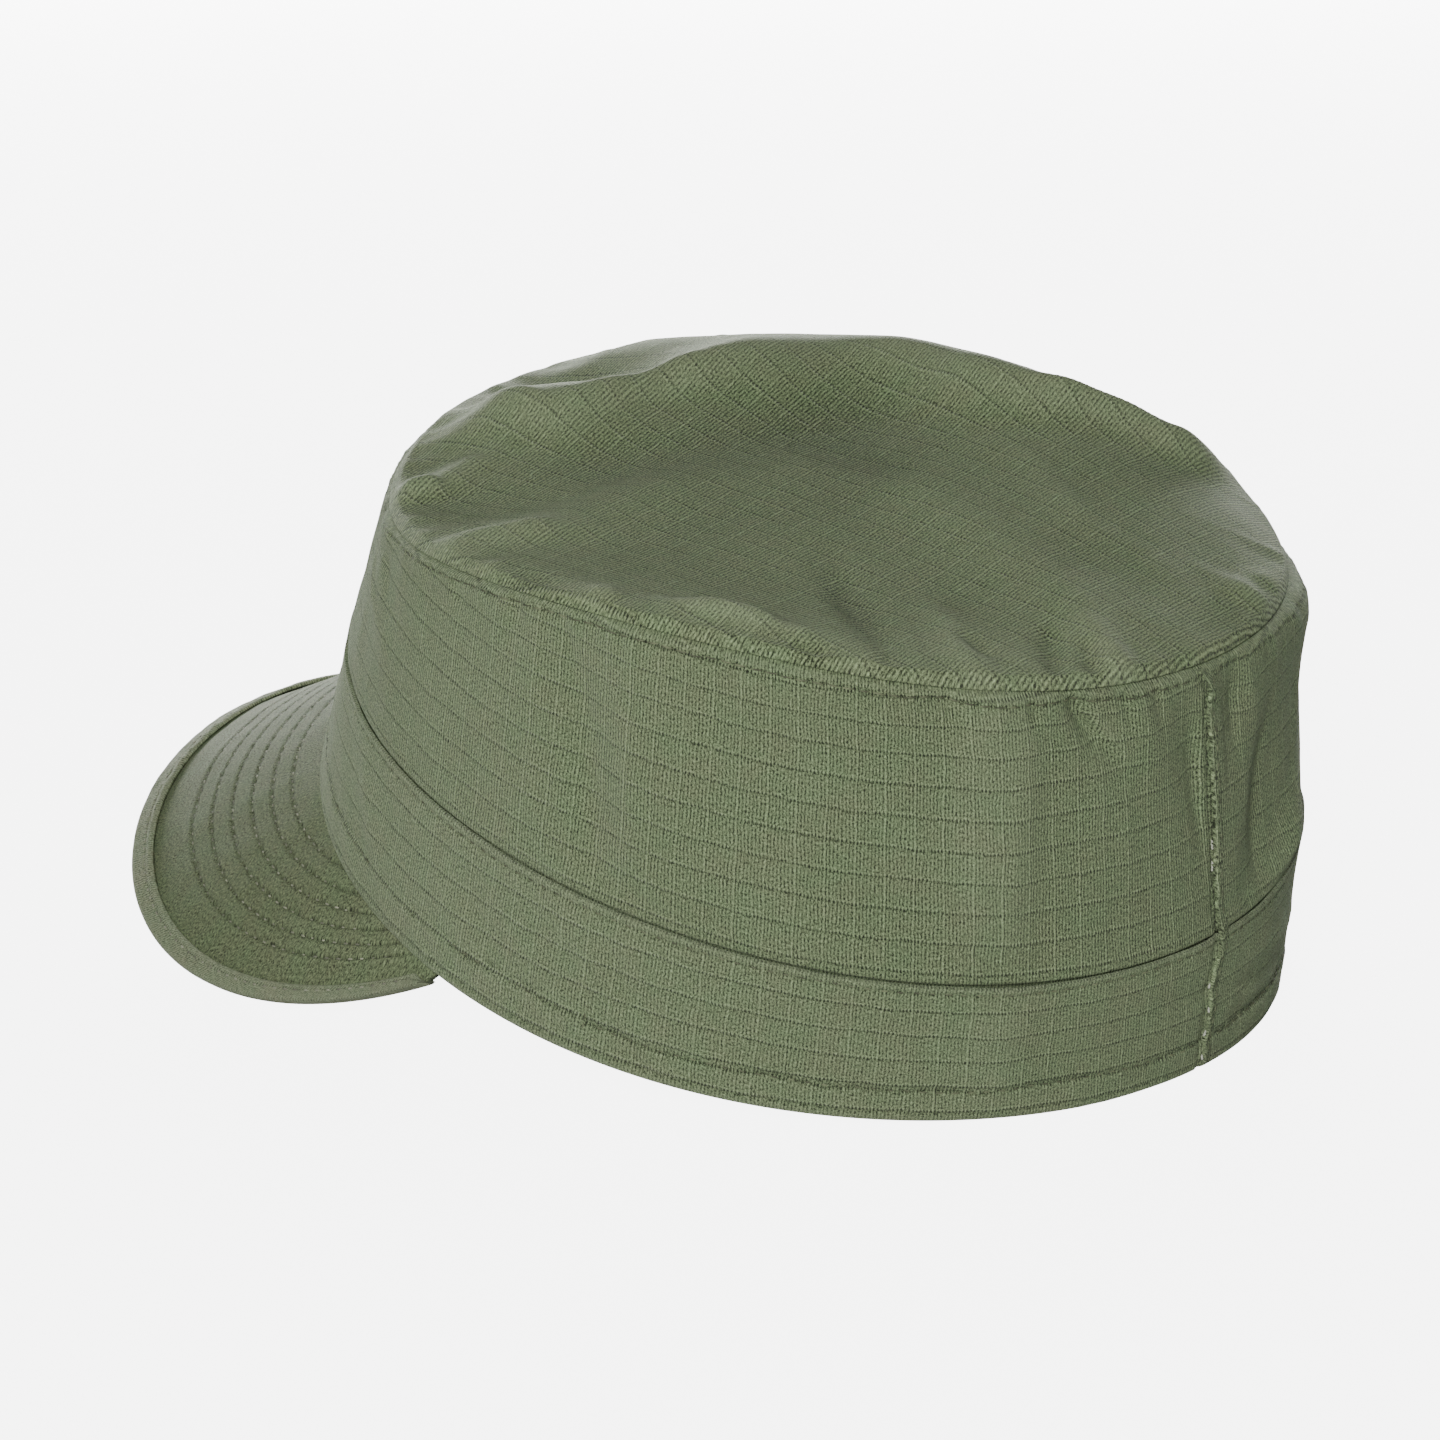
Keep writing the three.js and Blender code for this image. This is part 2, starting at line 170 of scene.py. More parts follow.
# Mesh building: a grid primitive is laid on a surface, then its doubles are merged
def selectOnly(piece):
    bpy.ops.object.select_all(action="DESELECT")
    piece.select_set(True)
    bpy.context.view_layer.objects.active = piece


def clothGrid(name, columns, rows, surface):
    # surface(column, row) gives places in millimetres, pattern places, and wear with painted light and shade,
    # for arrays of grid steps
    bpy.ops.object.select_all(action="DESELECT")
    bpy.ops.mesh.primitive_grid_add(x_subdivisions=columns, y_subdivisions=rows, size=2, calc_uvs=True)
    piece = bpy.context.active_object
    piece.name = name
    mesh = piece.data
    mesh.name = name
    corner = np.zeros(len(mesh.vertices) * 3)
    mesh.vertices.foreach_get("co", corner)
    corner = corner.reshape(-1, 3)
    column = np.round((corner[:, 0] + 1) / 2 * columns).astype(int)
    row = np.round((corner[:, 1] + 1) / 2 * rows).astype(int)
    places, pattern, wearAndPaintedLight = surface(column, row)
    mesh.vertices.foreach_set("co", rest(places).ravel())
    used = np.zeros(len(mesh.loops), int)
    mesh.loops.foreach_get("vertex_index", used)
    mesh.uv_layers[0].name = "cloth"
    mesh.uv_layers[0].data.foreach_set("uv", pattern[used].ravel())
    # this layer holds wear and painted highlights above zero, and painted shade below zero
    wearAndLightLayer = mesh.attributes.new("wearAndPaintedLight", "FLOAT", "POINT")
    wearAndLightLayer.data.foreach_set("value", np.clip(wearAndPaintedLight, -1, 1))
    mesh.update()
    closeUp(piece)
    return piece


def closeUp(piece):
    selectOnly(piece)
    bpy.ops.object.mode_set(mode="EDIT")
    bpy.ops.mesh.select_all(action="SELECT")
    bpy.ops.mesh.remove_doubles(threshold=0.000004)
    if signedVolume(piece) < 0:
        bpy.ops.mesh.flip_normals()
    bpy.ops.object.mode_set(mode="OBJECT")
    bpy.ops.object.shade_smooth()


def signedVolume(piece):
    piece.update_from_editmode()
    mesh = piece.data
    mesh.calc_loop_triangles()
    corner = np.zeros(len(mesh.vertices) * 3)
    mesh.vertices.foreach_get("co", corner)
    index = np.zeros(len(mesh.loop_triangles) * 3, int)
    mesh.loop_triangles.foreach_get("vertices", index)
    corner = corner.reshape(-1, 3)[index].reshape(-1, 3, 3)
    return float((corner[:, 0] * np.cross(corner[:, 1], corner[:, 2])).sum())


def spread(stops):
    # steps along a profile, from rows of from, to and the number of steps
    values = [np.linspace(low, high, count, endpoint=False) for low, high, count in stops]
    return np.concatenate([*values, [stops[-1][1]]])


# Raised back seam: a rounded ridge with a flat sewn-down strip beside it
backSeam = {
    "rows": 260, "lowest": 0.03, "highest": 1.985, "stand": 0.1, "perLevel": 40, "patternShift": 20,
    "endRows": 5, "endHeight": 0.25, "endWidth": 0.55, "lump": 0.16, "lumpSize": 1.3,
    "beat": 0.12, "beatPitch": 3.1, "wobble": [(0.15, 1.9, 31, 0, 0), (0.25, 5, 32, 0, 0)],
    # level and angle of its wandering line
    "line": [
        (0.0, 89.8), (0.14, 89.4), (0.3, 90.0), (0.5, 90.3), (0.64, 90.0), (0.84, 90.9), (1.02, 90.9),
        (1.1, 90.3), (1.34, 91.0), (1.68, 90.7), (1.8, 90.3), (1.9, 91.1), (2.0, 89.2),
    ],
    # millimetres across and height
    "section": [
        (-0.62, -0.1), (-0.6, 0.2), (-0.5, 0.46), (-0.32, 0.58), (-0.14, 0.52), (0.02, 0.32), (0.15, 0.1),
        (0.5, 0.08), (1.0, 0.14), (1.4, 0.15), (1.7, 0.05), (1.8, -0.15), (1.4, -0.3), (0.0, -0.3),
        (-0.5, -0.3), (-0.62, -0.1),
    ],
    # the sewn line: its levels on the band and on the wall, place across and height. stitch: length, width
    "sewn": [(0.06, 0.97), (1.08, 1.96)], "sewnAcross": 1.2, "sewnHeight": 0.16, "stitch": (2.3, 0.28),
    # levels of the loose white loops along its left, then rise, place and height of a loop's three stitches
    "knots": [1.32, 1.245, 0.62, 0.44, 0.27, 0.1],
    "loop": [(-0.012, -0.95, 0.25), (0.0, -1.15, 0.5), (0.012, -0.9, 0.2)], "loopStitch": (0.75, 0.42),
}


def seamAngle(level):
    levels, angles = zip(*backSeam["line"])
    return np.interp(level, levels, angles)


def besideSeam(angle, level):
    # millimetres round the cap from the back seam's line
    return aroundCap(angle) - seamAngle(level) * mmPerDegree


# Side wall: level 1 is the band's top and 2 the top seam
wall = {
    "columns": 900, "round": 598, "thickness": 1.4, "insideDrop": 0.4, "drop": 1.9, "dropFrom": 1.7,
    "shoulder": 3.2, "shoulderGrowth": 1.1, "shoulderTurn": 60, "foldFoot": 0.12, "foldTop": 0.05,
    "tuck": 2.3, "tuckTop": 0.985, "tuckEase": 0.03, "tuckAbove": 0.15, "aboveFrom": 1.04, "aboveEase": 0.3,
    "stitchLine": 1.9, "stitchDepth": 0.36, "sewnEdge": 0.22, "seamGroove": 0.6,
    "relief": [(0.34, 13, 3, 0.3, 0.55), (0.16, 6, 4, 0, 0.6), (0.1, 3.2, 5, 0, 0.5)],
    "gathers": [(0.3, 4.2, 6, 0, 0), (0.16, 2.1, 7, 0, 0)], "gatherFrom": 2.5, "gatherFade": 6,
    # levels of its rows: from, to and steps outside, and the rows inside
    "outer": [
        (0.84, 0.97, 2), (0.97, 1.03, 6), (1.03, 1.1, 4), (1.1, 1.84, 33), (1.84, 1.96, 15), (1.96, 2.0, 9),
    ],
    "inner": [1.985, 1.9, 1.7, 1.45, 1.2, 1.0, 0.84],
    # angle, level, half-width in degrees, half-height in levels, lift outwards, lean per level
    "folds": [
        (-33, 1.62, 4, 0.22, 0.8, -8), (9, 1.45, 5, 0.4, -1.3, -6), (19, 1.4, 6, 0.4, 1.0, -6),
        (52.5, 1.94, 2.5, 0.12, -1.2, -12), (71, 1.88, 2.5, 0.16, -1.8, -22), (79, 1.85, 3, 0.2, 1.0, -6),
        (87, 1.6, 2.6, 0.35, -1.6, -4), (96.5, 1.75, 2.6, 0.2, -1.4, 0), (104, 1.35, 6, 0.3, -2.2, 8),
        (112, 1.12, 5, 0.14, 1.8, 20), (124, 1.9, 14, 0.16, 2.4, 0), (150, 1.5, 10, 0.4, -2.0, 0),
        (205, 1.55, 9, 0.4, -1.6, 6), (240, 1.5, 8, 0.35, -2.4, -6), (270, 1.45, 9, 0.3, 1.8, 0),
        (297, 1.5, 8, 0.35, -2.2, 6),
    ],
    # from angle and level to angle and level, bow, half-width, lift, skew
    "creases": [
        (-41, 1.78, -32, 1.5, 2, 2.5, 0.7, 0.3), (-38, 1.9, -30, 1.6, -2, 2.2, -0.5, 0.0),
        (5, 1.9, 11, 1.18, -2, 3.2, -0.8, 0.2), (13, 1.86, 17, 1.08, 1, 3.4, 0.55, -0.2),
        (24, 1.8, 27, 1.3, 1, 4.0, -0.35, 0.0), (36, 1.7, 35, 1.25, 1, 4.5, 0.3, 0.0),
        (-3, 1.99, -1, 1.86, 0, 1.3, -0.5, 0.3), (4.5, 1.98, 6, 1.82, 0, 1.4, -0.55, 0.3),
        (13, 1.97, 13, 1.84, 0, 1.4, -0.5, 0.0), (-14, 1.97, -12, 1.84, 0, 1.5, -0.4, 0.0),
        (30, 1.98, 31, 1.88, 0, 1.3, -0.35, 0.0), (52, 1.99, 54, 1.88, 0, 1.5, -0.8, 0.3),
        (58, 1.96, 59, 1.86, 0, 1.5, 0.4, 0.0), (68.5, 1.99, 73.5, 1.78, 1, 1.8, -1.6, 0.3),
        (71, 1.96, 76, 1.74, 1, 1.7, 1.1, 0.0), (75.5, 1.98, 77, 1.84, 0, 1.5, -1.1, 0.0),
        (62.5, 1.99, 64, 1.86, 0, 1.4, -1.0, 0.2), (81, 1.96, 82, 1.8, 0, 1.5, -0.6, 0.0),
        (88, 1.84, 89.2, 1.3, 1, 1.8, -0.7, 0.2), (94, 1.9, 94.6, 1.5, 0, 1.8, -0.5, 0.0),
        (96.2, 1.9, 96.6, 1.6, 0, 1.6, -0.6, 0.0), (99, 1.95, 101, 1.7, 0, 2.0, 0.5, 0.0),
        (106, 1.66, 101, 1.04, 1.5, 3.0, -0.9, 0.3),
        (112, 1.16, 103, 1.05, -1, 2.2, 0.8, 0.0), (117, 1.4, 104, 1.2, -1, 3.0, -0.5, 0.0),
        (95, 1.1, 99, 1.03, 0, 1.6, -0.5, 0.0), (122, 1.85, 116, 1.3, 1, 3.0, 0.6, 0.0),
        (140, 1.9, 132, 1.15, 2, 3.6, -0.9, 0.3), (156, 1.95, 160, 1.4, -2, 3.2, 0.8, 0.0),
        (176, 1.8, 170, 1.1, 2, 4.0, -0.8, 0.2), (196, 1.95, 200, 1.3, -1, 3.4, 0.7, 0.0),
        (218, 1.9, 211, 1.2, 2, 3.4, -0.9, 0.3), (232, 1.98, 236, 1.5, -1, 2.8, 0.8, 0.0),
        (250, 1.9, 255, 1.2, 2, 3.6, -0.8, 0.0), (268, 1.96, 264, 1.4, 1, 3.0, 0.7, 0.2),
        (284, 1.9, 289, 1.15, -2, 3.6, -0.8, 0.0), (305, 1.95, 300, 1.3, 2, 3.2, 0.8, 0.2),
        (61, 1.99, 59, 1.0, 0, 8.0, 1.7, 0.4),
    ],
}


def wallFolds(angle, level):
    lift = 0 * angle
    for middleAngle, middleLevel, wide, tall, height, lean in wall["folds"]:
        middle = np.radians(middleAngle + lean * (level - middleLevel))
        beside = bell(turned(angle - middle), math.radians(wide))
        lift = lift + height * beside * bell(level - middleLevel, tall)
    return lift


def wallBase(angle, level):
    onBand = level <= 1
    rise = np.where(onBand, level, level - 1)
    low = np.where(onBand[:, None], ringPoint(rim, angle), ringPoint(bandTop, angle))
    high = np.where(onBand[:, None], ringPoint(bandTop, angle), ringPoint(topSeam, angle))
    point = low + (high - low) * rise[:, None]
    shoulder = wall["shoulder"] * rise ** wall["shoulderGrowth"] * (1 - rise ** wall["shoulderTurn"])
    fade = easeStep(rise / wall["foldFoot"]) * easeStep((1 - rise) / wall["foldTop"])
    lift = np.where(onBand, 0, shoulder + wallFolds(angle, level) * fade)
    return point + outward(angle) * lift[:, None]


def wallDetail(angle, level):
    # fine relief of the side wall: creases, gathers under the seam and its stitched-down edge
    around = aroundCap(angle)
    up, below = (level - 1) * mmPerLevel, (2 - level) * mmPerLevel
    relief = ringCreases(around, up, wall["creases"], 1, mmPerLevel) + lumps(around, up, wall["relief"])
    gathered = np.exp(-np.maximum(below - wall["gatherFrom"], 0) / wall["gatherFade"]) * easeStep(below / 2)
    relief = (relief + lumps(around, up, wall["gathers"]) * gathered) * easeStep(up / 3)
    edge = easeStep((below + 0.2) / 0.5) * easeStep((wall["stitchLine"] + 0.2 - below) / 0.5)
    sewn = bell(below - wall["stitchLine"], 0.42) * stitchBeat(around, stitching["pitch"])
    groove = bell(besideSeam(angle, level) + 1.3, 0.7)
    return relief + wall["sewnEdge"] * edge - wall["stitchDepth"] * sewn - wall["seamGroove"] * groove


def wallTuck(level):
    behind = (wall["tuck"] - wall["tuckAbove"]) * (1 - easeStep((level - wall["tuckTop"]) / wall["tuckEase"]))
    return behind + wall["tuckAbove"] * (1 - easeStep((level - wall["aboveFrom"]) / wall["aboveEase"]))


def wallDrop(level):
    return wall["drop"] * easeStep((level - wall["dropFrom"]) / (2 - wall["dropFrom"]))


def wallSkin(angle, level):
    # the side wall's outside: tucked behind the band below, turned down under the top seam above
    out = wallDetail(angle, level) - wallTuck(level)
    point = wallBase(angle, np.minimum(level, 2)) + outward(angle) * out[:, None]
    point[:, 2] -= wallDrop(level)
    return point


def makeSideCloth():
    outer = spread(wall["outer"])
    inner = np.array(wall["inner"])
    levels = np.concatenate([outer, inner, outer[:1]])
    inside = np.concatenate([0 * outer, 0 * inner + 1, [0]])

    def surface(column, row):
        angle = math.pi / 2 + column / wall["columns"] * 2 * math.pi
        level = levels[row]
        deep = np.maximum(wallTuck(level), wall["tuck"] * (level < 1.02)) + wall["thickness"]
        plain = wallBase(angle, level) - outward(angle) * deep[:, None]
        plain[:, 2] -= wallDrop(level) + wall["insideDrop"]
        point = np.where((inside[row] > 0)[:, None], plain, wallSkin(angle, level))
        tall = ringPoint(topSeam, angle)[:, 2] - ringPoint(bandTop, angle)[:, 2]
        pattern = np.stack([column / wall["columns"] * wall["round"] * weaveStretch, (level - 1) * tall], -1)
        below = (2 - level) * mmPerLevel
        paler = 0.2 * bell(below - 1.1, 0.5) + 0.3 * np.clip(wallDetail(angle, level), 0, 1)
        # painted shade: darker along the stitched row under the top seam, and painted shadow in a strip
        # beside the back seam's ridge
        beat = stitchBeat(aroundCap(angle), stitching["pitch"], 0.45)
        sewn = 1.1 * beat * bell(below - wall["stitchLine"], 0.35)
        return point, pattern, paler - sewn - 0.8 * bell(besideSeam(angle, level) + 1.1, 0.5)

    piece = clothGrid("side_cloth", wall["columns"], len(levels) - 1, surface)
    return piece


# Top panel: reach 0 is its middle and 1 the seam
top = {
    "columns": 760, "thickness": 1.4, "insideDrop": 0.5, "turn": 6, "radius": 86, "mmPerDegree": 1.5,
    "dome": 11.3, "domeLean": 9.6, "domeSide": 3, "sink": 1.1, "foldEdge": 0.16, "foldShare": 0.25,
    "overhang": 2.5, "edgeDrop": 2.0, "edgeTurn": 0.4, "nearPuff": 7.6, "nearAngle": 35, "nearSpread": 52,
    "relief": [(0.12, 8, 12, 0, 1), (0.05, 4, 13, 0, 1)],
    "gathers": [(0.5, 5.2, 14, 0, 0), (0.25, 2.6, 15, 0, 0)],
    # painted highlight: a band of light beside the near edge, where the cloth is painted paler as if lit
    "litAngle": 50, "litSpread": 45, "litInward": 8, "litWide": 9, "paintedHighlight": 0.6,
    # reach of its rows: from, to and steps outside, and the rows inside
    "outer": [(0.0, 0.1, 5), (0.1, 0.86, 52), (0.86, 0.97, 15), (0.97, 1.0, 9)],
    "inner": [0.985, 0.94, 0.86, 0.74, 0.6, 0.45, 0.3, 0.15, 0.0],
    # from x, y to x, y, half-width, lift
    "folds": [
        (44, -75, 28, -58, 8, 4.2), (26, -66, -10, -45, 8.8, 4.2), (11, -85, 8, -58, 8, -2.6),
        (-36, -24, -44, -1, 8, 3.1), (-37, -6, -70, 30, 8, 4.2), (-38, 18, -59, 46, 10.4, 1),
        (1, 12, 9, 52, 9.6, 1.4), (59, -9, 9, -8, 14.9, -1), (-11, -64, -39, -25, 15.9, 4.2),
        (64, -26, 30, -25, 8, 2.2), (23, -31, -11, -19, 13.4, -3.4), (66, -48, 53, -35, 9.3, -1),
        (9, 61, 2, 75, 8, 0.4),
    ],
    # from x, y to x, y, bow, half-width, lift, skew
    "creases": [
        (-30, 10, -15, 41, 0, 4, 0.7, 0.3), (-17, 41, -18, 64, 0, 4, 0.2, 0.3),
        (-20, 68, -42, 65, 0.3, 3.6, 0.9, 0.3), (39, 20, 62, 53, 0.9, 3.9, -1.5, 0),
        (37, 42, 50, 66, 0, 4, 1.7, 0), (42, 53, 45, 63, 0.2, 3.2, -2, 0),
        (13, 61, 30, 75, -0.2, 3.5, 1.4, 0), (23, 60, 38, 72, 0.2, 2.6, -1.5, 0),
        (69, -61, 59, -57, 0.1, 3.3, 3.1, 0), (60, -59, 46, -59, -0.3, 3.3, 1.9, 0),
        (85, -34, 66, -22, 0.3, 4.3, 2.5, 0.1), (17, 70, 25, 76, 0.1, 2.8, 1.7, 0),
        (21, 67, 30, 75, 0.2, 2.4, -1.9, 0), (-18, 64, -18, 74, -0.1, 3.2, -0.3, 0),
        (-26, 66, -25, 75, -0.3, 3.2, 0.6, 0), (25, -56, -5, -48, -0.2, 3.8, 3.5, 0.1),
        (32, -82, 32, -54, 0.2, 3.3, 1.4, 0.2), (-43, 3, -63, 25, -1.2, 3, 2.8, 0.2),
        (82, 18, 73, 37, -0.3, 3, 2.8, -0.1), (75, 39, 72, 47, -0.1, 2.6, -2, 0),
        (89, -14, 91, 1, 0, 2.3, -1, 0), (87, 3, 88, 11, -0.3, 2.7, 1.1, 0),
        (-55, 23, -77, 31, 0.3, 3.8, 1.8, 0.1), (0, -18, -3, 9, 0, 6.1, -0.8, 0),
        (9, 76, 8, 79, 0, 2.6, -0.5, 0),
    ],
}


def topSkin(angle, reach):
    seam = ringPoint(topSeam, angle)
    x = topSeam["shiftX"] + (seam[:, 0] - topSeam["shiftX"]) * reach
    y = topSeam["shiftY"] + (seam[:, 1] - topSeam["shiftY"]) * reach
    height = topSeam["height"] + (seam[:, 2] - topSeam["height"]) * reach ** 2
    lean = top["domeLean"] * np.cos(angle - math.radians(top["domeSide"])) * reach
    height = height + (top["dome"] - lean) * (1 - reach ** 3) - top["sink"] * (1 - reach ** 14)
    folds = 0 * x
    for *line, wide, lift in top["folds"]:
        across, past = besideLine(x, y, line)[1:]
        folds = folds + lift * bell(across, wide) * bell(past, wide * creasing["endLength"])
    height = height + folds * easeStep((1 - reach) / top["foldEdge"])
    inward = (1 - reach) * top["radius"]
    relief = sum(creaseHeight(x, y, crease) for crease in top["creases"]) + lumps(x, y, top["relief"])
    relief = relief + 0.4 * cloud(x + 0.5 * y, y - 0.3 * x, 17, 11)    # broad and slanting
    gathers = lumps(np.degrees(angle) * top["mmPerDegree"], 0 * x, top["gathers"])
    relief = relief + gathers * np.exp(-inward / 7) * easeStep(inward / 1.5)
    height = height + relief * easeStep(inward / 3) - top["edgeDrop"] * (1 - easeStep(inward / 1.6))
    near = bell(turned(angle - math.radians(top["nearAngle"])), math.radians(top["nearSpread"]))
    height = height + top["nearPuff"] * near * (reach ** 6 - reach ** 14)
    over = top["overhang"] * reach ** 12 - top["edgeTurn"] * (1 - easeStep(inward / 0.5))
    point = np.stack([x, y, height], -1) + outward(angle) * over[:, None]
    return point, relief + top["foldShare"] * folds, inward


def makeTopCloth():
    outer = spread(top["outer"])
    inner = np.array(top["inner"])
    reaches = np.concatenate([outer, inner])
    inside = np.concatenate([0 * outer, 0 * inner + 1])
    cos, sin = math.cos(math.radians(top["turn"])), math.sin(math.radians(top["turn"]))

    def surface(column, row):
        reach = reaches[row]
        angle = np.where(reach == 0, 0, column / top["columns"] * 2 * math.pi)
        point, relief, inward = topSkin(angle, reach)
        point[:, 2] -= inside[row] * (top["thickness"] + np.clip(relief, 0, 1) + top["insideDrop"])
        pattern = np.stack([point[:, 1] * cos - point[:, 0] * sin, point[:, 0] * cos + point[:, 1] * sin], -1)
        # painted highlight: paler in a band beside the near edge, round the side that faces the light
        lit = bell(turned(angle - math.radians(top["litAngle"])), math.radians(top["litSpread"]))
        lit = top["paintedHighlight"] * lit * bell(inward - top["litInward"], top["litWide"])
        # painted highlight on the crests of the folds and creases and painted shade in their hollows, from
        # the relief, and paler 2.5 mm in from the seam
        return point, pattern, 0.45 * np.clip(relief, -1.2, 1.6) + 0.15 * bell(inward - 2.5, 1.5) + lit

    piece = clothGrid("top_cloth", top["columns"], len(reaches) - 1, surface)
    return piece


# Band: level 0 is the lower edge and 1 its folded top
band = {
    "columns": 900, "round": 604, "thickness": 2.0, "hem": 5.0, "hemDepth": 4.2, "rolledEdge": 0.35,
    # heights of the sewn rows, the top one from above, how far the hem's row wanders, and depths and lifts
    "topRow": 1.9, "hemRow": 7.0, "frontRow": 8.2, "frontTo": 12.5, "frontFrom": 192, "edgeRow": 1.8,
    "wander": 0.5, "topSewn": 0.36, "hemSewn": 0.5, "edgeSewn": 0.2,
    "hemFold": 0.28, "topFold": 0.2, "seamGroove": 0.5,
    "relief": [(0.2, 11, 21, 1, 1), (0.1, 5, 22, -1, 1)],
    "puckers": [(0.25, 3.6, 23, 1.2, 0)], "puckerFade": 8,
    "outer": [(1.0, 0.9, 9), (0.9, 0.24, 18), (0.24, 0.08, 13), (0.08, 0.0, 7)],
    # from angle and level to angle and level, bow, half-width, lift, skew
    "creases": [
        (93, 0.54, 115, 0.28, 1, 1.7, -0.7, 0.2), (94, 0.28, 107, 0.22, 0.5, 1.4, -0.6, 0.0),
        (79.5, 0.64, 93, 0.58, 0.5, 1.8, -0.5, 0.0), (96, 0.72, 118, 0.5, 1, 2.2, 0.6, 0.0),
        (95, 0.42, 110, 0.3, 0, 1.6, 0.5, 0.0), (60, 0.5, 78, 0.42, 1, 2.4, -0.3, 0.0),
        (14, 0.8, 20, 0.4, 1, 2.4, -0.35, 0.0), (-6, 0.7, 4, 0.3, 1, 3.0, -0.4, 0.0),
        (-30, 0.8, -20, 0.3, 1, 3.0, 0.35, 0.0), (38, 0.7, 44, 0.35, 0, 3.2, 0.25, 0.0),
        (132, 0.7, 150, 0.4, 1, 2.6, -0.6, 0.0), (160, 0.6, 176, 0.3, 1, 3.0, 0.5, 0.0),
        (196, 0.7, 206, 0.3, 1, 3.0, -0.5, 0.0), (226, 0.7, 240, 0.5, 1, 3.0, 0.4, 0.0),
        (262, 0.7, 280, 0.55, 1, 3.0, -0.5, 0.0), (296, 0.75, 306, 0.35, 1, 3.0, 0.4, 0.0),
        (60, 0.9, 59, 0.1, 0, 8.0, 0.9, 0.4),
    ],
}


def hemHeight(angle):
    # the row lies a little higher round the front
    degrees = toDegrees(angle)
    behind = (degrees > band["frontTo"]) * (degrees < band["frontFrom"])
    return band["frontRow"] + (band["hemRow"] - band["frontRow"]) * behind


def hemLevel(angle):
    return hemHeight(angle) / bandTop["height"]


def fromHemRow(angle, up):
    return up - hemHeight(angle) - band["wander"] * cloud(aroundCap(angle), 0 * angle, 4.5, 24)


def bandDetail(angle, level):
    around, up = aroundCap(angle), level * bandTop["height"]
    fromTop = bandTop["height"] - up
    relief = ringCreases(around, up, band["creases"], 0, bandTop["height"])
    relief = relief + lumps(around, up, band["relief"])
    relief = relief + lumps(around, up, band["puckers"]) * np.exp(-up / band["puckerFade"])
    sewn = band["topSewn"] * bell(fromTop - band["topRow"], 0.45)
    sewn = sewn + band["hemSewn"] * bell(fromHemRow(angle, up), 0.5)
    sewn = sewn + band["edgeSewn"] * bell(up - band["edgeRow"], 0.4)
    sewn = sewn * stitchBeat(around, stitching["pitch"])
    folded = band["hemFold"] * easeStep((hemHeight(angle) + 0.3 - up) / 0.8)
    folded = folded + band["topFold"] * bell(fromTop - 0.7, 0.8)
    groove = band["seamGroove"] * bell(besideSeam(angle, level) + 1.6, 0.8)
    return relief * easeStep(up / 2.5) - sewn + folded - groove


def bandSkin(angle, level, depth=0):
    out = bandDetail(angle, level) - depth
    return wallBase(angle, level) + outward(angle) * np.asarray(out)[:, None]


def makeBandCloth():
    outer = spread(band["outer"])
    hem, thick, deep = band["hem"] / bandTop["height"], band["thickness"], band["hemDepth"]
    # level and depth round the folded top, down the outside and round the turned hem
    rows = [(0.6, thick), (0.93, thick), (0.95, 1.5), (0.965, 1.0)]
    rows += [(0.985, 0.92), (0.996, 0.75), (1.002, 0.5), (1.0, 0.2)]
    rows += [(level, 0.0) for level in outer]
    rows += [(-0.006, 0.5), (-0.012, 1.4), (-0.012, 2.8), (-0.004, 3.8)]
    rows += [(0.02, deep), (hem, deep), (hem, thick), (0.6, thick)]
    levels, depths = np.array(rows).T
    rounding = np.where(depths == 0, band["rolledEdge"] * bell(levels, 0.02), 0)

    def surface(column, row):
        angle = math.pi / 2 + column / band["columns"] * 2 * math.pi
        level = levels[row]
        point = bandSkin(angle, np.clip(level, 0, 1), depths[row] + rounding[row])
        point[:, 2] += (level - np.clip(level, 0, 1)) * bandTop["height"]
        up, fromTop = level * bandTop["height"], (1 - level) * bandTop["height"]
        pattern = np.stack([column / band["columns"] * band["round"] * weaveStretch, up - depths[row]], -1)
        beat = stitchBeat(aroundCap(angle), stitching["pitch"])
        paler = 0.5 * bell(fromTop, 0.8) + 0.4 * bell(up, 1.0)
        paler = paler + 0.3 * np.clip(bandDetail(angle, np.clip(level, 0, 1)), 0, 1)
        # painted shade: darker along the stitched rows under the top edge, above the lower edge and along the
        # hem's row
        sewn = 0.7 * beat * (bell(fromTop - band["topRow"], 0.4) + bell(up - band["edgeRow"], 0.4))
        return point, pattern, paler - sewn - (0.6 + 0.3 * beat) * bell(fromHemRow(angle, up), 0.45)

    piece = clothGrid("band_cloth", band["columns"], len(rows) - 1, surface)
    return piece


def seamSkin(level, across, height):
    wobble = lumps(level * backSeam["perLevel"], 0 * level, backSeam["wobble"])
    angle = np.radians(seamAngle(level) + (across + wobble) / mmPerDegree)
    onBand = level < 1
    low, high = bandSkin(angle, np.minimum(level, 1)), wallSkin(angle, np.maximum(level, 1))
    flat = np.where(onBand[:, None], low, high)
    step = wall["tuckAbove"] * easeStep((1.05 - level) / 0.04) * ~onBand
    return flat + outward(angle) * (backSeam["stand"] + height + step)[:, None]


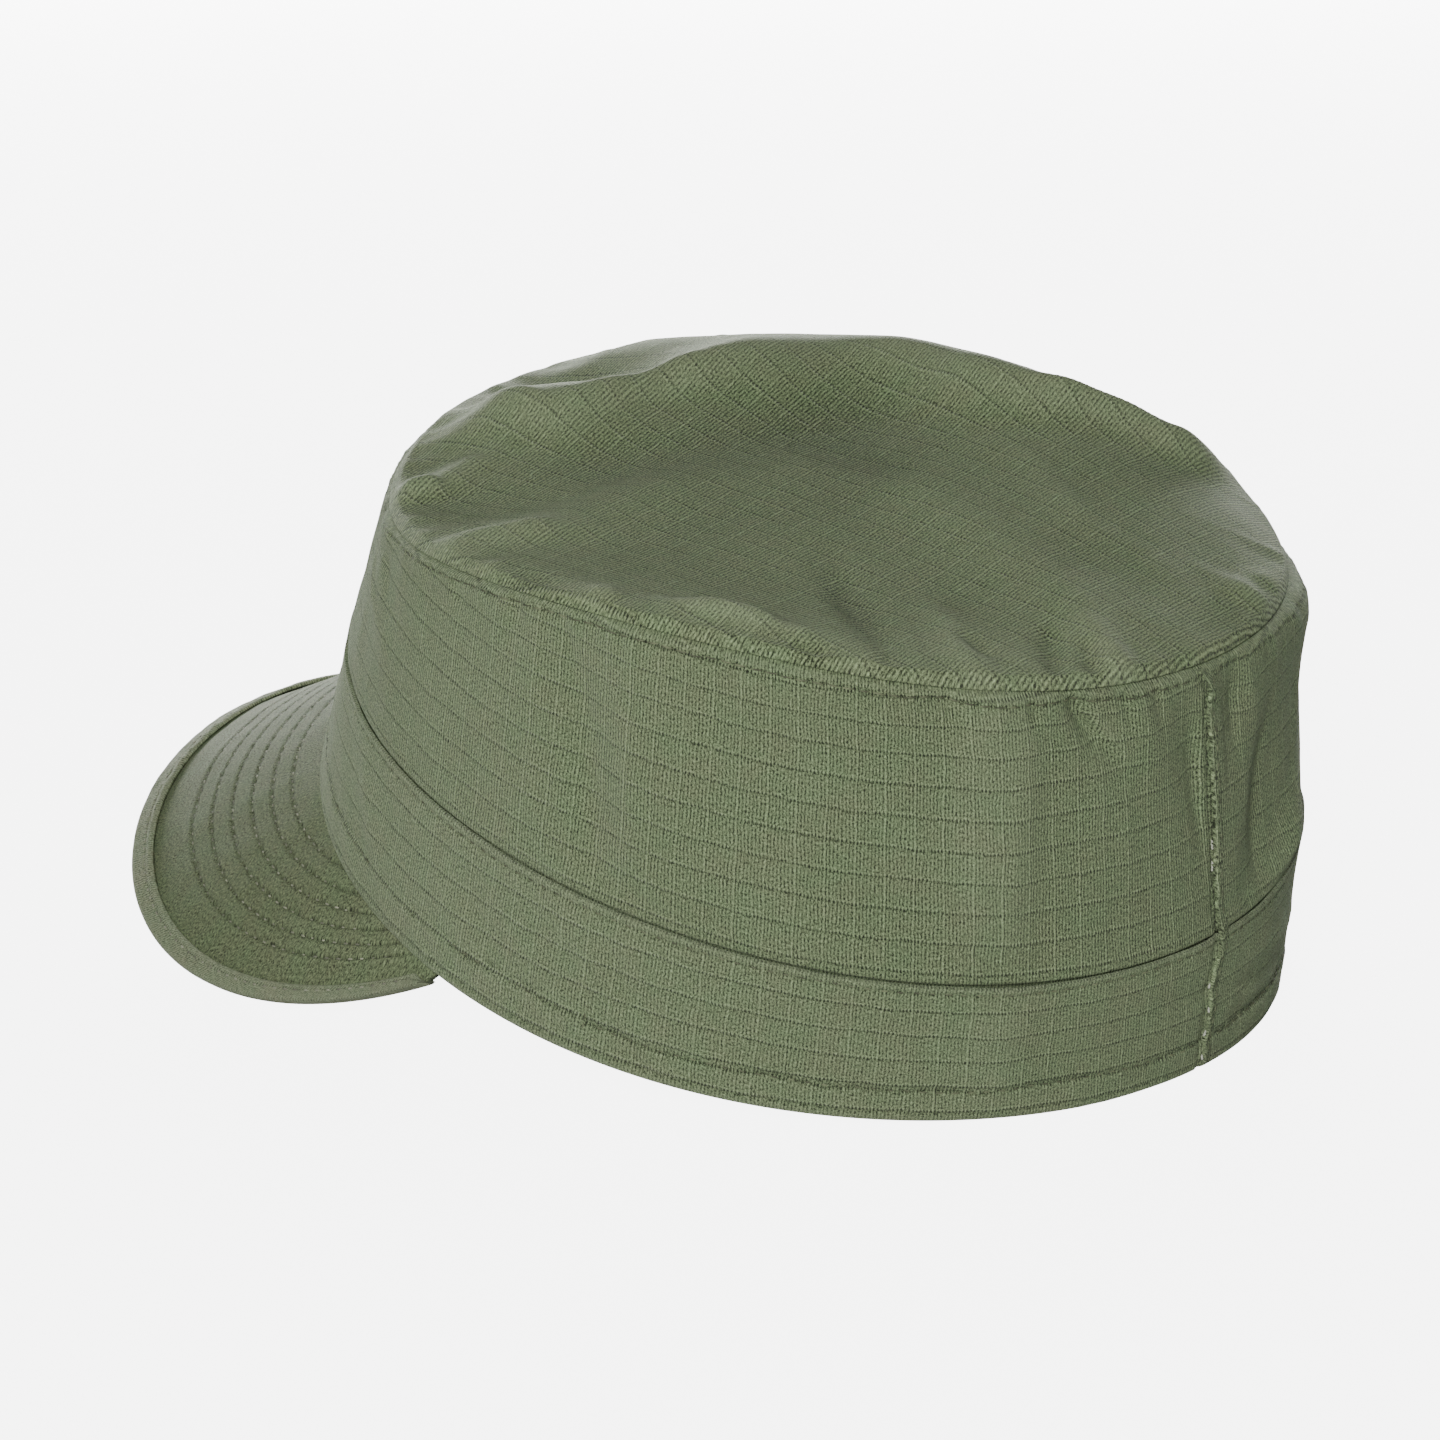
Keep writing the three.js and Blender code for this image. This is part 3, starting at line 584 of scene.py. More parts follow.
def makeBackSeam():
    section = np.array(backSeam["section"])

    def surface(column, row):
        level = backSeam["lowest"] + (backSeam["highest"] - backSeam["lowest"]) * row / backSeam["rows"]
        along = level * backSeam["perLevel"]
        across, height = section[column, 0], section[column, 1]
        end = easeStep(np.minimum(row, backSeam["rows"] - row) / backSeam["endRows"])
        uneven = 1 + backSeam["lump"] * cloud(along, across * 2, backSeam["lumpSize"], 33)
        uneven = uneven + backSeam["beat"] * np.cos(2 * np.pi * along / backSeam["beatPitch"])
        tall = height * uneven * (backSeam["endHeight"] + (1 - backSeam["endHeight"]) * end)
        wide = backSeam["endWidth"] + (1 - backSeam["endWidth"]) * end
        point = seamSkin(level, across * wide, np.where(height > 0, tall, height))
        pattern = np.stack([across + backSeam["patternShift"], along], -1)
        # paler on the ridge's crest from wear; painted shade in the groove where the ridge meets its flat
        # strip, and the strip a little darker
        wearAndPaintedLight = 0.5 * bell(height - 0.58, 0.1) - 0.5 * bell(across - 0.1, 0.25) - 0.3 * (across > 0.4)
        return point, pattern, wearAndPaintedLight

    piece = clothGrid("back_seam_cloth", len(section) - 1, backSeam["rows"], surface)
    selectOnly(piece)
    bpy.ops.object.mode_set(mode="EDIT")
    bpy.ops.mesh.select_mode(type="EDGE")
    bpy.ops.mesh.select_all(action="DESELECT")
    bpy.ops.mesh.select_non_manifold()
    bpy.ops.mesh.fill()    # closes both ends of the strip
    bpy.ops.mesh.select_mode(type="VERT")
    bpy.ops.object.mode_set(mode="OBJECT")
    return piece


# Peak: place runs from -1 to 1 across it, inset is the distance in from its edge
peak = {
    "columns": 420, "span": 82.7, "length": 57.0, "squareness": 5.2, "corner": 0.95,
    "slope": math.tan(math.radians(37.5)), "flare": 0.47, "sideDroop": 0.74,
    "wall": 2.2, "reach": 0.985, "tuck": 2.0, "clearance": 0.45, "shortest": 1.5, "patternStretch": 1.25,
    # insets of the rows of points on the upper side, and of those on the under side
    "insets": [(1.4, 6.0, 5), (6.0, 13.5, 9), (13.5, 48.5, 98), (48.5, 57.0, 6)],
    "under": [57.0, 45.0, 30.0, 18.0, 8.0, 1.4],
    # the root turns up inside the band: how far inward and up its rows lie
    "root": [(2.6, 0.0), (2.8, 2.6), (4.4, 2.6), (4.4, 0.0)],
    "relief": [(0.14, 9, 41, 0, 1), (0.07, 4, 42, 0, 1)],
    "quiltPitch": 3.6, "quiltGrowth": 110, "quiltDepth": 0.42, "quiltShift": 1.1,
    "stitchPitch": 3.3, "stitch": (1.5, 0.4), "stitchSink": 0.12, "wander": 0.22, "wanderSize": 14,
    "rows": [17.5, 23.2, 29.0, 34.8, 40.5, 46.2], "bindingRow": 4.3,
}


def peakDirection(place):
    drop = -peak["slope"] - peak["sideDroop"] * place ** 2
    return unit(np.stack([peak["flare"] * place, 0 * place - 1, drop], -1))


def peakAngle(place):
    return place * math.radians(peak["span"]) - math.pi / 2


def peakNormal(place):
    angle = peakAngle(place)
    along = ringPoint(rim, angle + 0.01) - ringPoint(rim, angle - 0.01)
    return -unit(np.cross(along, peakDirection(place)))


def peakLength(place):
    return peak["length"] * (1 - np.abs(place) ** peak["squareness"]) ** peak["corner"]


def peakPoint(place, distance, height):
    angle, normal = peakAngle(place), peakNormal(place)
    point = ringPoint(rim, angle) - outward(angle) * peak["tuck"]
    point[:, 2] -= peak["clearance"] + 0.5 * peak["wall"] * normal[:, 2]
    return point + peakDirection(place) * distance[:, None] + normal * height[:, None]


def lengthsAlong(points):
    return np.concatenate([[0], np.cumsum(np.linalg.norm(np.diff(points, axis=0), axis=1))])


def peakArc(place):
    # millimetres along the peak's edge, for the beat of its stitches
    table = np.linspace(-peak["reach"], peak["reach"], 400)
    return np.interp(place, table, lengthsAlong(peakPoint(table, peakLength(table), 0 * table)))


def peakPitch(row):
    # the rows inside are shorter, but have nearly as many beats
    return peak["quiltPitch"] * (1 + row / peak["quiltGrowth"])


def quilting(place, inset):
    # relief of the peak's upper cloth: it sinks at each stitch row and puffs a little between them
    around = peakArc(place)
    relief = lumps(around, inset, peak["relief"])
    for number, row in enumerate(peak["rows"]):
        beat = stitchBeat(around + peak["quiltShift"] * number, peakPitch(row), 0.28)
        relief = relief - peak["quiltDepth"] * beat * bell(inset - row, 0.55)
    return relief + 0.12 * easeStep((inset - 14) / 2)


def acrossPeak(column, columns):
    # places from end to end, closest at the ends, and which of them lie between the ends
    place = peak["reach"] * np.sin((column / columns - 0.5) * math.pi)
    return place, (column > 0) & (column < columns)


def makePeakCloth():
    insets = spread(peak["insets"])
    # inset, side, and how far inward and up
    rows = [(inset, 1, 0, 0) for inset in insets] + [(insets[-1], 1, *turn) for turn in peak["root"]]
    rows += [(inset, -1, 0, 0) for inset in peak["under"]] + [(insets[0], 1, 0, 0)]
    steps, side, inward, raised = np.array(rows).T

    def surface(column, row):
        place, shown = acrossPeak(column, peak["columns"])
        inset = steps[row]
        distance = np.maximum(peakLength(place) - inset, 0)
        relief = quilting(place, inset)
        fade = easeStep(distance / 1.5) * easeStep((inset - insets[0]) / 1.5)
        height = side[row] * peak["wall"] / 2 + np.where(side[row] > 0, relief * fade, 0)
        distance = np.where(shown, distance, peakLength(place) / 2)    # both ends close on their middle
        point = peakPoint(place, distance, height * shown)
        point = point - outward(peakAngle(place)) * (inward[row] * shown)[:, None]
        point[:, 2] += raised[row] * shown
        pattern = np.stack([point[:, 0], point[:, 1] * peak["patternStretch"]], -1)
        # painted shade: darker along the quilted stitch rows; paler on the puffs between them
        sewn = sum(bell(inset - line, 0.6) for line in peak["rows"])
        return point, pattern, 0.35 * np.clip(relief * 2, 0, 1) - 0.5 * sewn

    piece = clothGrid("peak_cloth", peak["columns"], len(steps) - 1, surface)
    return piece


# Binding: one strip folded round the peak's edge
binding = {
    "columns": 460, "flap": 6.5, "short": 1.2, "thickness": 1.0, "gap": 0.3, "middle": 1.0,
    "patternShift": 40, "stitchSink": 0.2, "relief": [(0.1, 4.5, 51, -1, 1), (0.08, 2.2, 52, 2, 0)],
}


def bindingSection():
    inner = peak["wall"] / 2 + binding["gap"]
    outer = inner + binding["thickness"]
    flap = binding["flap"]
    upper = [(flap, inner), (flap + 0.05, inner + 0.35)]
    upper += [(flap - 0.1, inner + 0.62), (flap - 0.5, inner + 0.78)]
    upper += [(value, outer - 0.12 + 0.12 * math.cos(value)) for value in np.linspace(5.6, 2.0, 13)]
    rounded = [(1.3, outer - 0.06), (0.75, outer - 0.25), (0.35, outer - 0.62)]
    rounded += [(0.1, outer - 1.1), (0.0, 0.9)]
    lower = [(inset, -height) for inset, height in reversed([*upper, *rounded])]
    middle = binding["middle"]
    return np.array([*upper, *rounded, (0.0, 0.0), *lower, (middle, -inner), (middle, inner), (flap, inner)])


def bindingRelief(place, inset):
    around = peakArc(place)
    sewn = 0.30 * stitchBeat(around, stitching["pitch"]) * bell(inset - peak["bindingRow"], 0.5)
    return lumps(around, inset, binding["relief"]) - sewn


def makeBindingCloth():
    section = bindingSection()
    upper = section[:, 1] > 0.5
    middle = binding["middle"]

    def surface(column, row):
        place, shown = acrossPeak(column, binding["columns"])
        length = peakLength(place)
        flap = np.minimum(binding["flap"], length - peak["tuck"] - binding["short"])
        inset, height = section[row, 0], section[row, 1]
        scaled = middle + (inset - middle) * (flap - middle) / (binding["flap"] - middle)
        scaled = np.where(inset > middle, scaled, inset)
        outside = (row < len(section) - 3) & (row > 0)
        relief = np.where(outside, bindingRelief(place, inset) * np.sign(height) * easeStep(inset / 1.5), 0)
        # both ends close on their middle
        point = peakPoint(place, length - np.where(shown, scaled, middle), (height + relief) * shown)
        pattern = np.stack([peakArc(place), inset * np.sign(height + 0.001) + binding["patternShift"]], -1)
        wearAndPaintedLight = 0.5 * bell(inset - 0.4, 1.2) + 0.35 * bell(inset - binding["flap"], 0.7) * upper[row]
        return point, pattern, wearAndPaintedLight

    piece = clothGrid("binding_cloth", binding["columns"], len(section) - 1, surface)
    return piece


# Thread: one stitch is modelled, then laid along each sewn row
stitching = {
    "pitch": 3.0, "length": 2.5, "thick": 0.34, "sink": 0.05,
    "bow": 0.9, "askew": 0.1, "short": 0.9, "long": 1.05,
}


def makeStitch():
    # the places and faces of one stitch, 1 long and 1 thick
    bpy.ops.object.select_all(action="DESELECT")
    bpy.ops.mesh.primitive_uv_sphere_add(segments=8, ring_count=5, radius=0.5)
    stitch = bpy.context.active_object
    mesh = stitch.data
    corner = np.array([vertex.co[:] for vertex in mesh.vertices])
    faces = [tuple(face.vertices) for face in mesh.polygons]
    bpy.data.objects.remove(stitch)
    # the sphere's axis becomes the thread's length
    return np.stack([corner[:, 2], corner[:, 0], corner[:, 1]], -1), faces


def threadRow(points, normals, length=None, thick=None):
    # one stitch at each point, along the row
    along = unit(np.gradient(points, axis=0))
    return [
        (point, direction, normal, length or stitching["length"], thick or stitching["thick"])
        for point, direction, normal in zip(points, along, normals)
    ]


def sewRows(name, stitches, seed):
    corner, faces = makeStitch()
    random = np.random.RandomState(seed)
    places, polygons = [], []
    for point, direction, normal, length, thick in stitches:
        turn = random.uniform(-stitching["askew"], stitching["askew"])
        direction = unit(direction + turn * np.cross(normal, direction))
        side = unit(np.cross(normal, direction))
        bow = -stitching["bow"] * thick * (2 * corner[:, :1]) ** 2
        local = corner[:, :1] * length * random.uniform(stitching["short"], stitching["long"]) * direction
        local = local + corner[:, 1:2] * thick * side + (corner[:, 2:3] * thick + bow) * normal
        polygons.extend(tuple(index + len(places) * len(corner) for index in face) for face in faces)
        places.append(point + local)
    mesh = bpy.data.meshes.new(name)
    mesh.from_pydata(rest(np.concatenate(places)).tolist(), [], polygons)
    mesh.update()
    piece = bpy.data.objects.new(name, mesh)
    bpy.context.scene.collection.objects.link(piece)
    closeUp(piece)
    return piece


def skinRow(skin, angle, level, length=None):
    # stitches at those angles and levels of the wall or band, square to its surface
    alongAngle = skin(angle + 0.004, level) - skin(angle - 0.004, level)
    alongLevel = skin(angle, level + 0.01) - skin(angle, level - 0.01)
    normals = unit(np.cross(alongAngle, alongLevel))
    return threadRow(skin(angle, level) + normals * stitching["sink"], normals, length)


def ringStitches(skin, levelOf, fromAngle, toAngle, jitter, seed):
    # stitches along a level of the wall or band, between two angles
    count = int((toAngle - fromAngle) * mmPerDegree / stitching["pitch"])
    angle = np.radians(fromAngle + (np.arange(count) + 0.5) * (toAngle - fromAngle) / count)
    level = levelOf(angle) + jitter * cloud(np.arange(count) * 1.0, 0.0 * angle, 2.3, seed)
    return skinRow(skin, angle, level)


def makeCrownStitches():
    level = 2 - wall["stitchLine"] / mmPerLevel
    rows = ringStitches(wallSkin, lambda angle: level + 0 * angle, 93, 447, 0.004, 61)
    return sewRows("crown_stitches", rows, 71)


def makeBandStitches():
    topLevel = 1 - band["topRow"] / bandTop["height"]
    rows = ringStitches(bandSkin, lambda angle: topLevel + 0 * angle, 92.5, 448, 0.006, 62)
    for fromAngle, toAngle, seed in ((13.5, 88, 63), (92, 191, 64), (193, 371.5, 65)):
        rows += ringStitches(bandSkin, hemLevel, fromAngle, toAngle, 0.006, seed)
    # the short upright joins where the two hem rows meet
    for angle in (12.6, 192.4):
        level = np.linspace(0.2, 0.27, 2)
        rows += skinRow(bandSkin, np.radians(angle + 0 * level), level, 1.7)
    return sewRows("band_stitches", rows, 72)


def makePeakStitches():
    stitches = []
    table = np.linspace(-peak["reach"], peak["reach"], 1600)
    for number, row in enumerate([*peak["rows"], peak["bindingRow"]]):
        lift, pitch = peak["wall"] / 2 - peak["stitchSink"], peak["stitchPitch"]
        if row == peak["bindingRow"]:
            lift = peak["wall"] / 2 + binding["gap"] + binding["thickness"] - binding["stitchSink"]
            pitch = stitching["pitch"]
        shown = table[peakLength(table) - row > peak["tuck"] + peak["shortest"]]
        arc = lengthsAlong(peakPoint(shown, peakLength(shown) - row, lift + 0 * shown))
        wanted = np.arange(pitch / 2 + 0.4 * number, arc[-1] - pitch / 2, pitch)
        place = np.interp(wanted, arc, shown)
        wander = peak["wander"] * cloud(wanted, 0 * wanted, peak["wanderSize"], 80 + number)
        points = peakPoint(place, peakLength(place) - row - wander, lift + 0 * place)
        stitches += threadRow(points, peakNormal(place), *peak["stitch"])
    return sewRows("peak_stitches", stitches, 73)


def seamRow(level, across, height, stitch):
    return threadRow(seamSkin(level, across, height), outward(np.radians(seamAngle(level))), *stitch)


def makeSeamStitches():
    onBand, onWall = backSeam["sewn"]
    pitch = stitching["pitch"]
    low, high = np.arange(*onBand, pitch / bandTop["height"]), np.arange(*onWall, pitch / mmPerLevel)
    level = np.concatenate([low, high])
    across, height = backSeam["sewnAcross"] + 0 * level, backSeam["sewnHeight"] + 0 * level
    return sewRows("seam_stitches", seamRow(level, across, height, backSeam["stitch"]), 74)


def makeSeamKnots():
    rise, across, height = np.array(backSeam["loop"]).T
    rows = []
    for level in backSeam["knots"]:
        rows += seamRow(level + rise, across, height, backSeam["loopStitch"])
    return sewRows("seam_knots", rows, 75)


# Colours are given as they show, from 0 to 255, and used as linear values
def colour(*shown):
    return (*(((value / 255 + 0.055) / 1.055) ** 2.4 for value in shown), 1.0)


# how strong the grid, grain, upright threads, ribs and sheen are, and the depth of relief in metres
clothParts = ("shade", "grid", "grain", "upright", "ribbing", "sheen", "bump")
cloths = {
    "top_cloth": (colour(108, 121, 89), 1.35, 3, 0.6, 0.95, 0.2, 0.00012),
    "crown_cloth": (colour(110, 123, 92), 1.2, 2.8, 0.65, 0.85, 0.2, 0.00012),
    "band_cloth": (colour(114, 127, 96), 1.3, 2.7, 0.5, 0.75, 0.2, 0.00012),
    "peak_cloth": (colour(105, 116, 86), 0.25, 2.6, 0.3, 0.15, 0.04, 0.0001),
    "binding_cloth": (colour(130, 139, 111), 0.2, 2.2, 0.3, 0.8, 0.1, 0.0001),
}
threads = {"dull": colour(118, 125, 94), "pale": colour(168, 171, 146), "white": colour(205, 208, 190)}
# millimetres: the grid's squares, pitch of ribs and of dots, and shift and half-width of dark and light lines
weave = {
    "square": 6.0, "rib": 0.75, "dots": 0.75, "zigzag": 0.16, "wobble": (1.1, 1.1, 0.0),
    "levelDark": (0.0, 0.4), "levelLight": (-0.25, 0.36),
    "uprightDark": (0.0, 0.18), "uprightLight": (0.36, 0.26),
}
# warm and cool tints for soft washed patches, and a pale tint for worn places and painted highlights
washed = {"warm": (1.04, 0.98, 0.99, 1.0), "cool": (0.96, 1.02, 0.98, 1.0), "pale": (0.33, 0.36, 0.25, 1.0)}


def feed(tree, node, values):
    # each input gets a fixed value or a link
    for name, value in values.items():
        if isinstance(value, bpy.types.NodeSocket):
            tree.links.new(value, node.inputs[name])
        else:
            node.inputs[name].default_value = value
    return node


def newGroup(name, inputs, outputs):
    # an input without a value is a vector, one with four numbers a colour, and one with one a plain number
    group = bpy.data.node_groups.new(name, "ShaderNodeTree")
    for label, value in inputs.items():
        kind = "Vector" if value is None else "Color" if isinstance(value, tuple) else "Float"
        socket = group.interface.new_socket(name=label, in_out="INPUT", socket_type="NodeSocket" + kind)
        if value is not None:
            socket.default_value = value
    for label, kind in outputs.items():
        group.interface.new_socket(name=label, in_out="OUTPUT", socket_type="NodeSocket" + kind)
    return group, group.nodes.new("NodeGroupInput").outputs, group.nodes.new("NodeGroupOutput")


def mathNode(tree, operation, *values, clamp=False):
    node = tree.nodes.new("ShaderNodeMath")
    node.operation = operation
    node.use_clamp = clamp
    return feed(tree, node, dict(enumerate(values))).outputs[0]


def timesPlus(tree, value, factor, added, clamp=False):
    return mathNode(tree, "MULTIPLY_ADD", value, factor, added, clamp=clamp)


def product(tree, first, *others):
    for value in others:
        first = mathNode(tree, "MULTIPLY", first, value)
    return first


def noiseNode(tree, vector, scale, detail=2.0, rough=0.5, output="Fac"):
    node = tree.nodes.new("ShaderNodeTexNoise")
    values = {"Scale": scale, "Detail": detail, "Roughness": rough, "Vector": vector}
    return feed(tree, node, values).outputs[output]


def scaledVector(tree, vector, factors, added=(0.0, 0.0, 0.0)):
    node = tree.nodes.new("ShaderNodeVectorMath")
    node.operation = "MULTIPLY_ADD"
    return feed(tree, node, {0: vector, 1: factors, 2: added}).outputs[0]


def mixColour(tree, factor, first, second, blend="MIX"):
    node = tree.nodes.new("ShaderNodeMix")
    node.data_type = "RGBA"
    node.blend_type = blend
    place = {socket.name: index for index, socket in enumerate(node.inputs) if socket.enabled}
    feed(tree, node, {place["Factor"]: factor, place["A"]: first, place["B"]: second})
    return next(socket for socket in node.outputs if socket.enabled)


def bumpNode(tree, height, depth):
    return feed(tree, tree.nodes.new("ShaderNodeBump"), {"Distance": depth, "Height": height}).outputs[0]


def makeRipstopGroup():
    # ripstop cloth on a pattern in millimetres: fine ribs, with heavier threads in a square grid
    group, given, result = newGroup(
        "ripstop weave", {"Pattern": None, "Upright": 0.5, "Ribbing": 1.0},
        {"Height": "Float", "Dark line": "Float", "Light line": "Float", "Fleck": "Float"},
    )
    wobble = noiseNode(group, given["Pattern"], 0.13, output="Color")
    shift = scaledVector(group, wobble, weave["wobble"], given["Pattern"])
    split = feed(group, group.nodes.new("ShaderNodeSeparateXYZ"), {0: shift})
    around, up = split.outputs[0], split.outputs[1]

    def lineMask(value, offset, halfWidth):
        cell = mathNode(group, "DIVIDE", mathNode(group, "ADD", value, offset), weave["square"])
        away = mathNode(group, "ABSOLUTE", mathNode(group, "SUBTRACT", mathNode(group, "FRACT", cell), 0.5))
        away = product(group, away, weave["square"])
        return timesPlus(group, mathNode(group, "DIVIDE", away, halfWidth), -1.5, 1.5, clamp=True)

    def wave(value, period, phase=0.0):
        turns = mathNode(group, "DIVIDE", value, period)
        return mathNode(group, "SINE", timesPlus(group, turns, 2 * math.pi, phase))

    # across the ribs the heavier thread shows as a zigzag of dark dots, and along them as a fine double line
    level = mathNode(group, "ADD", up, product(group, wave(around, weave["dots"]), weave["zigzag"]))
    dots = timesPlus(group, wave(around, weave["dots"], 1.0), 0.5, 0.5)
    gaps = mathNode(group, "SUBTRACT", 1.0, dots)
    strength = timesPlus(group, noiseNode(group, shift, 0.35, 2.0, 0.6), 2.0, -0.35, clamp=True)
    levelDark = product(group, lineMask(level, *weave["levelDark"]), timesPlus(group, dots, 1.2, -0.1))
    levelLight = product(group, lineMask(level, *weave["levelLight"]), gaps)
    uprightDark = product(group, lineMask(around, *weave["uprightDark"]), given["Upright"], strength)
    uprightLight = product(group, lineMask(around, *weave["uprightLight"]), given["Upright"], 1.3, strength)
    # the dark and light lines of each heavier thread are partly its pattern, partly painted shade and painted
    # highlight on its two sides
    dark = mathNode(group, "MAXIMUM", levelDark, uprightDark)
    light = mathNode(group, "MAXIMUM", levelLight, uprightLight)

    grain = noiseNode(group, scaledVector(group, shift, (1.0, 0.62, 1.0)), 3.1, 2.0, 0.9)
    soft = noiseNode(group, shift, 0.9, 2.0, 0.6)
    ribShare = product(group, timesPlus(group, soft, 1.6, -0.35, clamp=True), given["Ribbing"])
    rib = product(group, wave(around, weave["rib"]), ribShare)
    fleck = timesPlus(group, mathNode(group, "SUBTRACT", grain, 0.5), 4.0, product(group, rib, 0.7))
    height = timesPlus(group, light, 1.2, product(group, fleck, 0.8))
    height = timesPlus(group, dark, -1.4, height)
    feed(group, result, {"Height": height, "Dark line": dark, "Light line": light, "Fleck": fleck})
    return group


def makeFadeAndLightGroup():
    # colour of cloth that has been washed: soft patches, and paler where it is folded or worn; the wear input
    # also carries painted highlights, paler, and below zero painted shade, darker
    group, given, result = newGroup(
        "washed colour and painted light",
        {
            "Place": None, "Cloth": (0.2, 0.2, 0.1, 1.0), "Wear and painted light": 0.0, "Dark line": 0.0, "Light line": 0.0,
            "Fleck": 0.0, "Grid": 1.0, "Grain": 1.0,
        },
        {"Color": "Color", "Roughness": "Float"},
    )
    tint = timesPlus(group, noiseNode(group, given["Place"], 130, 3.0, 0.6), 2.4, -0.7, clamp=True)
    warm = mixColour(group, 1.0, given["Cloth"], washed["warm"], "MULTIPLY")
    cool = mixColour(group, 1.0, given["Cloth"], washed["cool"], "MULTIPLY")
    base = mixColour(group, tint, cool, warm)
    mottle = noiseNode(group, given["Place"], 1100, 2.0, 0.7)
    tone = timesPlus(group, mathNode(group, "SUBTRACT", mottle, 0.5), 0.7, 1.0)
    # painted shade: the wear input below zero darkens stitched rows, the back seam's side and the hollows of
    # the top
    paintedShade = mathNode(group, "MINIMUM", given["Wear and painted light"], 0.0)
    # the grid's dark and light lines darken and lighten the colour: the heavier threads' pattern with painted
    # shade and painted highlight beside them
    for mask, strength in (
        (product(group, given["Fleck"], given["Grain"]), 0.5),
        (product(group, given["Dark line"], given["Grid"]), -0.6),
        (product(group, given["Light line"], given["Grid"]), 0.65),
        (given["Wear and painted light"], 0.2), (paintedShade, 0.4),
    ):
        tone = timesPlus(group, mask, strength, tone)
    tone = mathNode(group, "MAXIMUM", tone, 0.15)
    grey = feed(group, group.nodes.new("ShaderNodeCombineColor"), {0: tone, 1: tone, 2: tone})
    shaded = mixColour(group, 1.0, base, grey.outputs[0], "MULTIPLY")
    paleness = mathNode(group, "MULTIPLY", given["Wear and painted light"], 0.2, clamp=True)
    paler = mixColour(group, paleness, shaded, washed["pale"])
    feed(group, result, {"Color": paler, "Roughness": timesPlus(group, mottle, 0.14, 0.8)})
    return group


def newMaterial(name):
    material = bpy.data.materials.new(name)
    material.use_nodes = True
    return material, material.node_tree, material.node_tree.nodes["Principled BSDF"]


def groupNode(tree, group, values):
    node = tree.nodes.new("ShaderNodeGroup")
    node.node_tree = group
    return feed(tree, node, values).outputs


def clothMaterial(name, slot):
    finish = dict(zip(clothParts, cloths[slot]))
    material, tree, shader = newMaterial(name)
    pattern = tree.nodes.new("ShaderNodeUVMap")
    pattern.uv_map = "cloth"
    wearAndLightLayer = tree.nodes.new("ShaderNodeAttribute")
    wearAndLightLayer.attribute_name = "wearAndPaintedLight"
    woven = groupNode(tree, ripstopGroup, {
        "Pattern": pattern.outputs[0], "Upright": finish["upright"], "Ribbing": finish["ribbing"],
    })
    faded = groupNode(tree, fadeAndLightGroup, {
        "Place": tree.nodes.new("ShaderNodeTexCoord").outputs["Object"], "Cloth": finish["shade"],
        "Wear and painted light": wearAndLightLayer.outputs["Fac"], "Grid": finish["grid"], "Grain": finish["grain"],
        "Dark line": woven["Dark line"], "Light line": woven["Light line"], "Fleck": woven["Fleck"],
    })
    feed(tree, shader, {
        "Base Color": faded["Color"], "Roughness": faded["Roughness"],
        "Normal": bumpNode(tree, woven["Height"], finish["bump"]), "Specular IOR Level": 0.25,
        "Sheen Weight": finish["sheen"], "Sheen Roughness": 0.3, "Sheen Tint": (0.82, 0.9, 0.68, 1.0),
    })
    return material


def threadMaterial(name, shade, darkest):
    material, tree, shader = newMaterial(name)
    place = tree.nodes.new("ShaderNodeTexCoord").outputs["Object"]
    twist = noiseNode(tree, place, 2600, 2.0, 0.6)
    dirty = timesPlus(tree, noiseNode(tree, place, 330, 2.0, 0.6), 4.0, -1.6, clamp=True)
    darker = tuple(value * darkest for value in shade[:3]) + (1.0,)
    feed(tree, shader, {
        "Base Color": mixColour(tree, dirty, darker, shade), "Normal": bumpNode(tree, twist, 0.00008),
        "Roughness": 0.7,
    })
    return material


# The room: a pale, flat floor, two soft lights, an even sky and the camera
room = {
    "azimuth": 129.0, "elevation": 17.829, "distance": 1.0, "focalPixels": 5037.1, "imagePixels": 1440,
    "centreX": 799.3, "centreY": 644.6, "target": (0.0, 0.0225, 0.0641), "sensor": 36.0, "nearest": 0.05,
    "floorSize": 6, "floorShade": 0.55, "floorGlow": 0.06, "floorSeen": 6.0,
    "skyStrength": 0.06, "skySeen": 6.0,
    # azimuth, elevation, distance, width, height, power
    "lights": {"key": (121, 25, 1.5, 0.45, 0.45, 22.5), "rim": (311, 6, 1.5, 1.8, 0.3, 78)},
}
white = (1.0, 1.0, 1.0, 1.0)


def addAimed(name, data, azimuth, elevation, distance):
    # a camera or light at that place round the cap, turned towards it
    azimuth, elevation = math.radians(azimuth), math.radians(elevation)
    level = math.cos(elevation)
    back = np.array([math.sin(azimuth) * level, -math.cos(azimuth) * level, math.sin(elevation)])
    right = unit(np.cross((0, 0, 1), back))
    matrix = np.identity(4)
    matrix[:3, :3] = np.stack([right, np.cross(back, right), back], -1)
    matrix[:3, 3] = np.array(room["target"]) + distance * back
    item = bpy.data.objects.new(name, data)
    item.matrix_world = Matrix(matrix.tolist())
    bpy.context.scene.collection.objects.link(item)
    return item


def addCamera():
    data = bpy.data.cameras.new("camera")
    data.sensor_width = room["sensor"]
    data.lens = room["focalPixels"] / room["imagePixels"] * room["sensor"]
    data.shift_x = (room["imagePixels"] / 2 - room["centreX"]) / room["imagePixels"]
    data.shift_y = (room["centreY"] - room["imagePixels"] / 2) / room["imagePixels"]
    data.clip_start = room["nearest"]
    camera = addAimed("camera", data, room["azimuth"], room["elevation"], room["distance"])
    bpy.context.scene.camera = camera


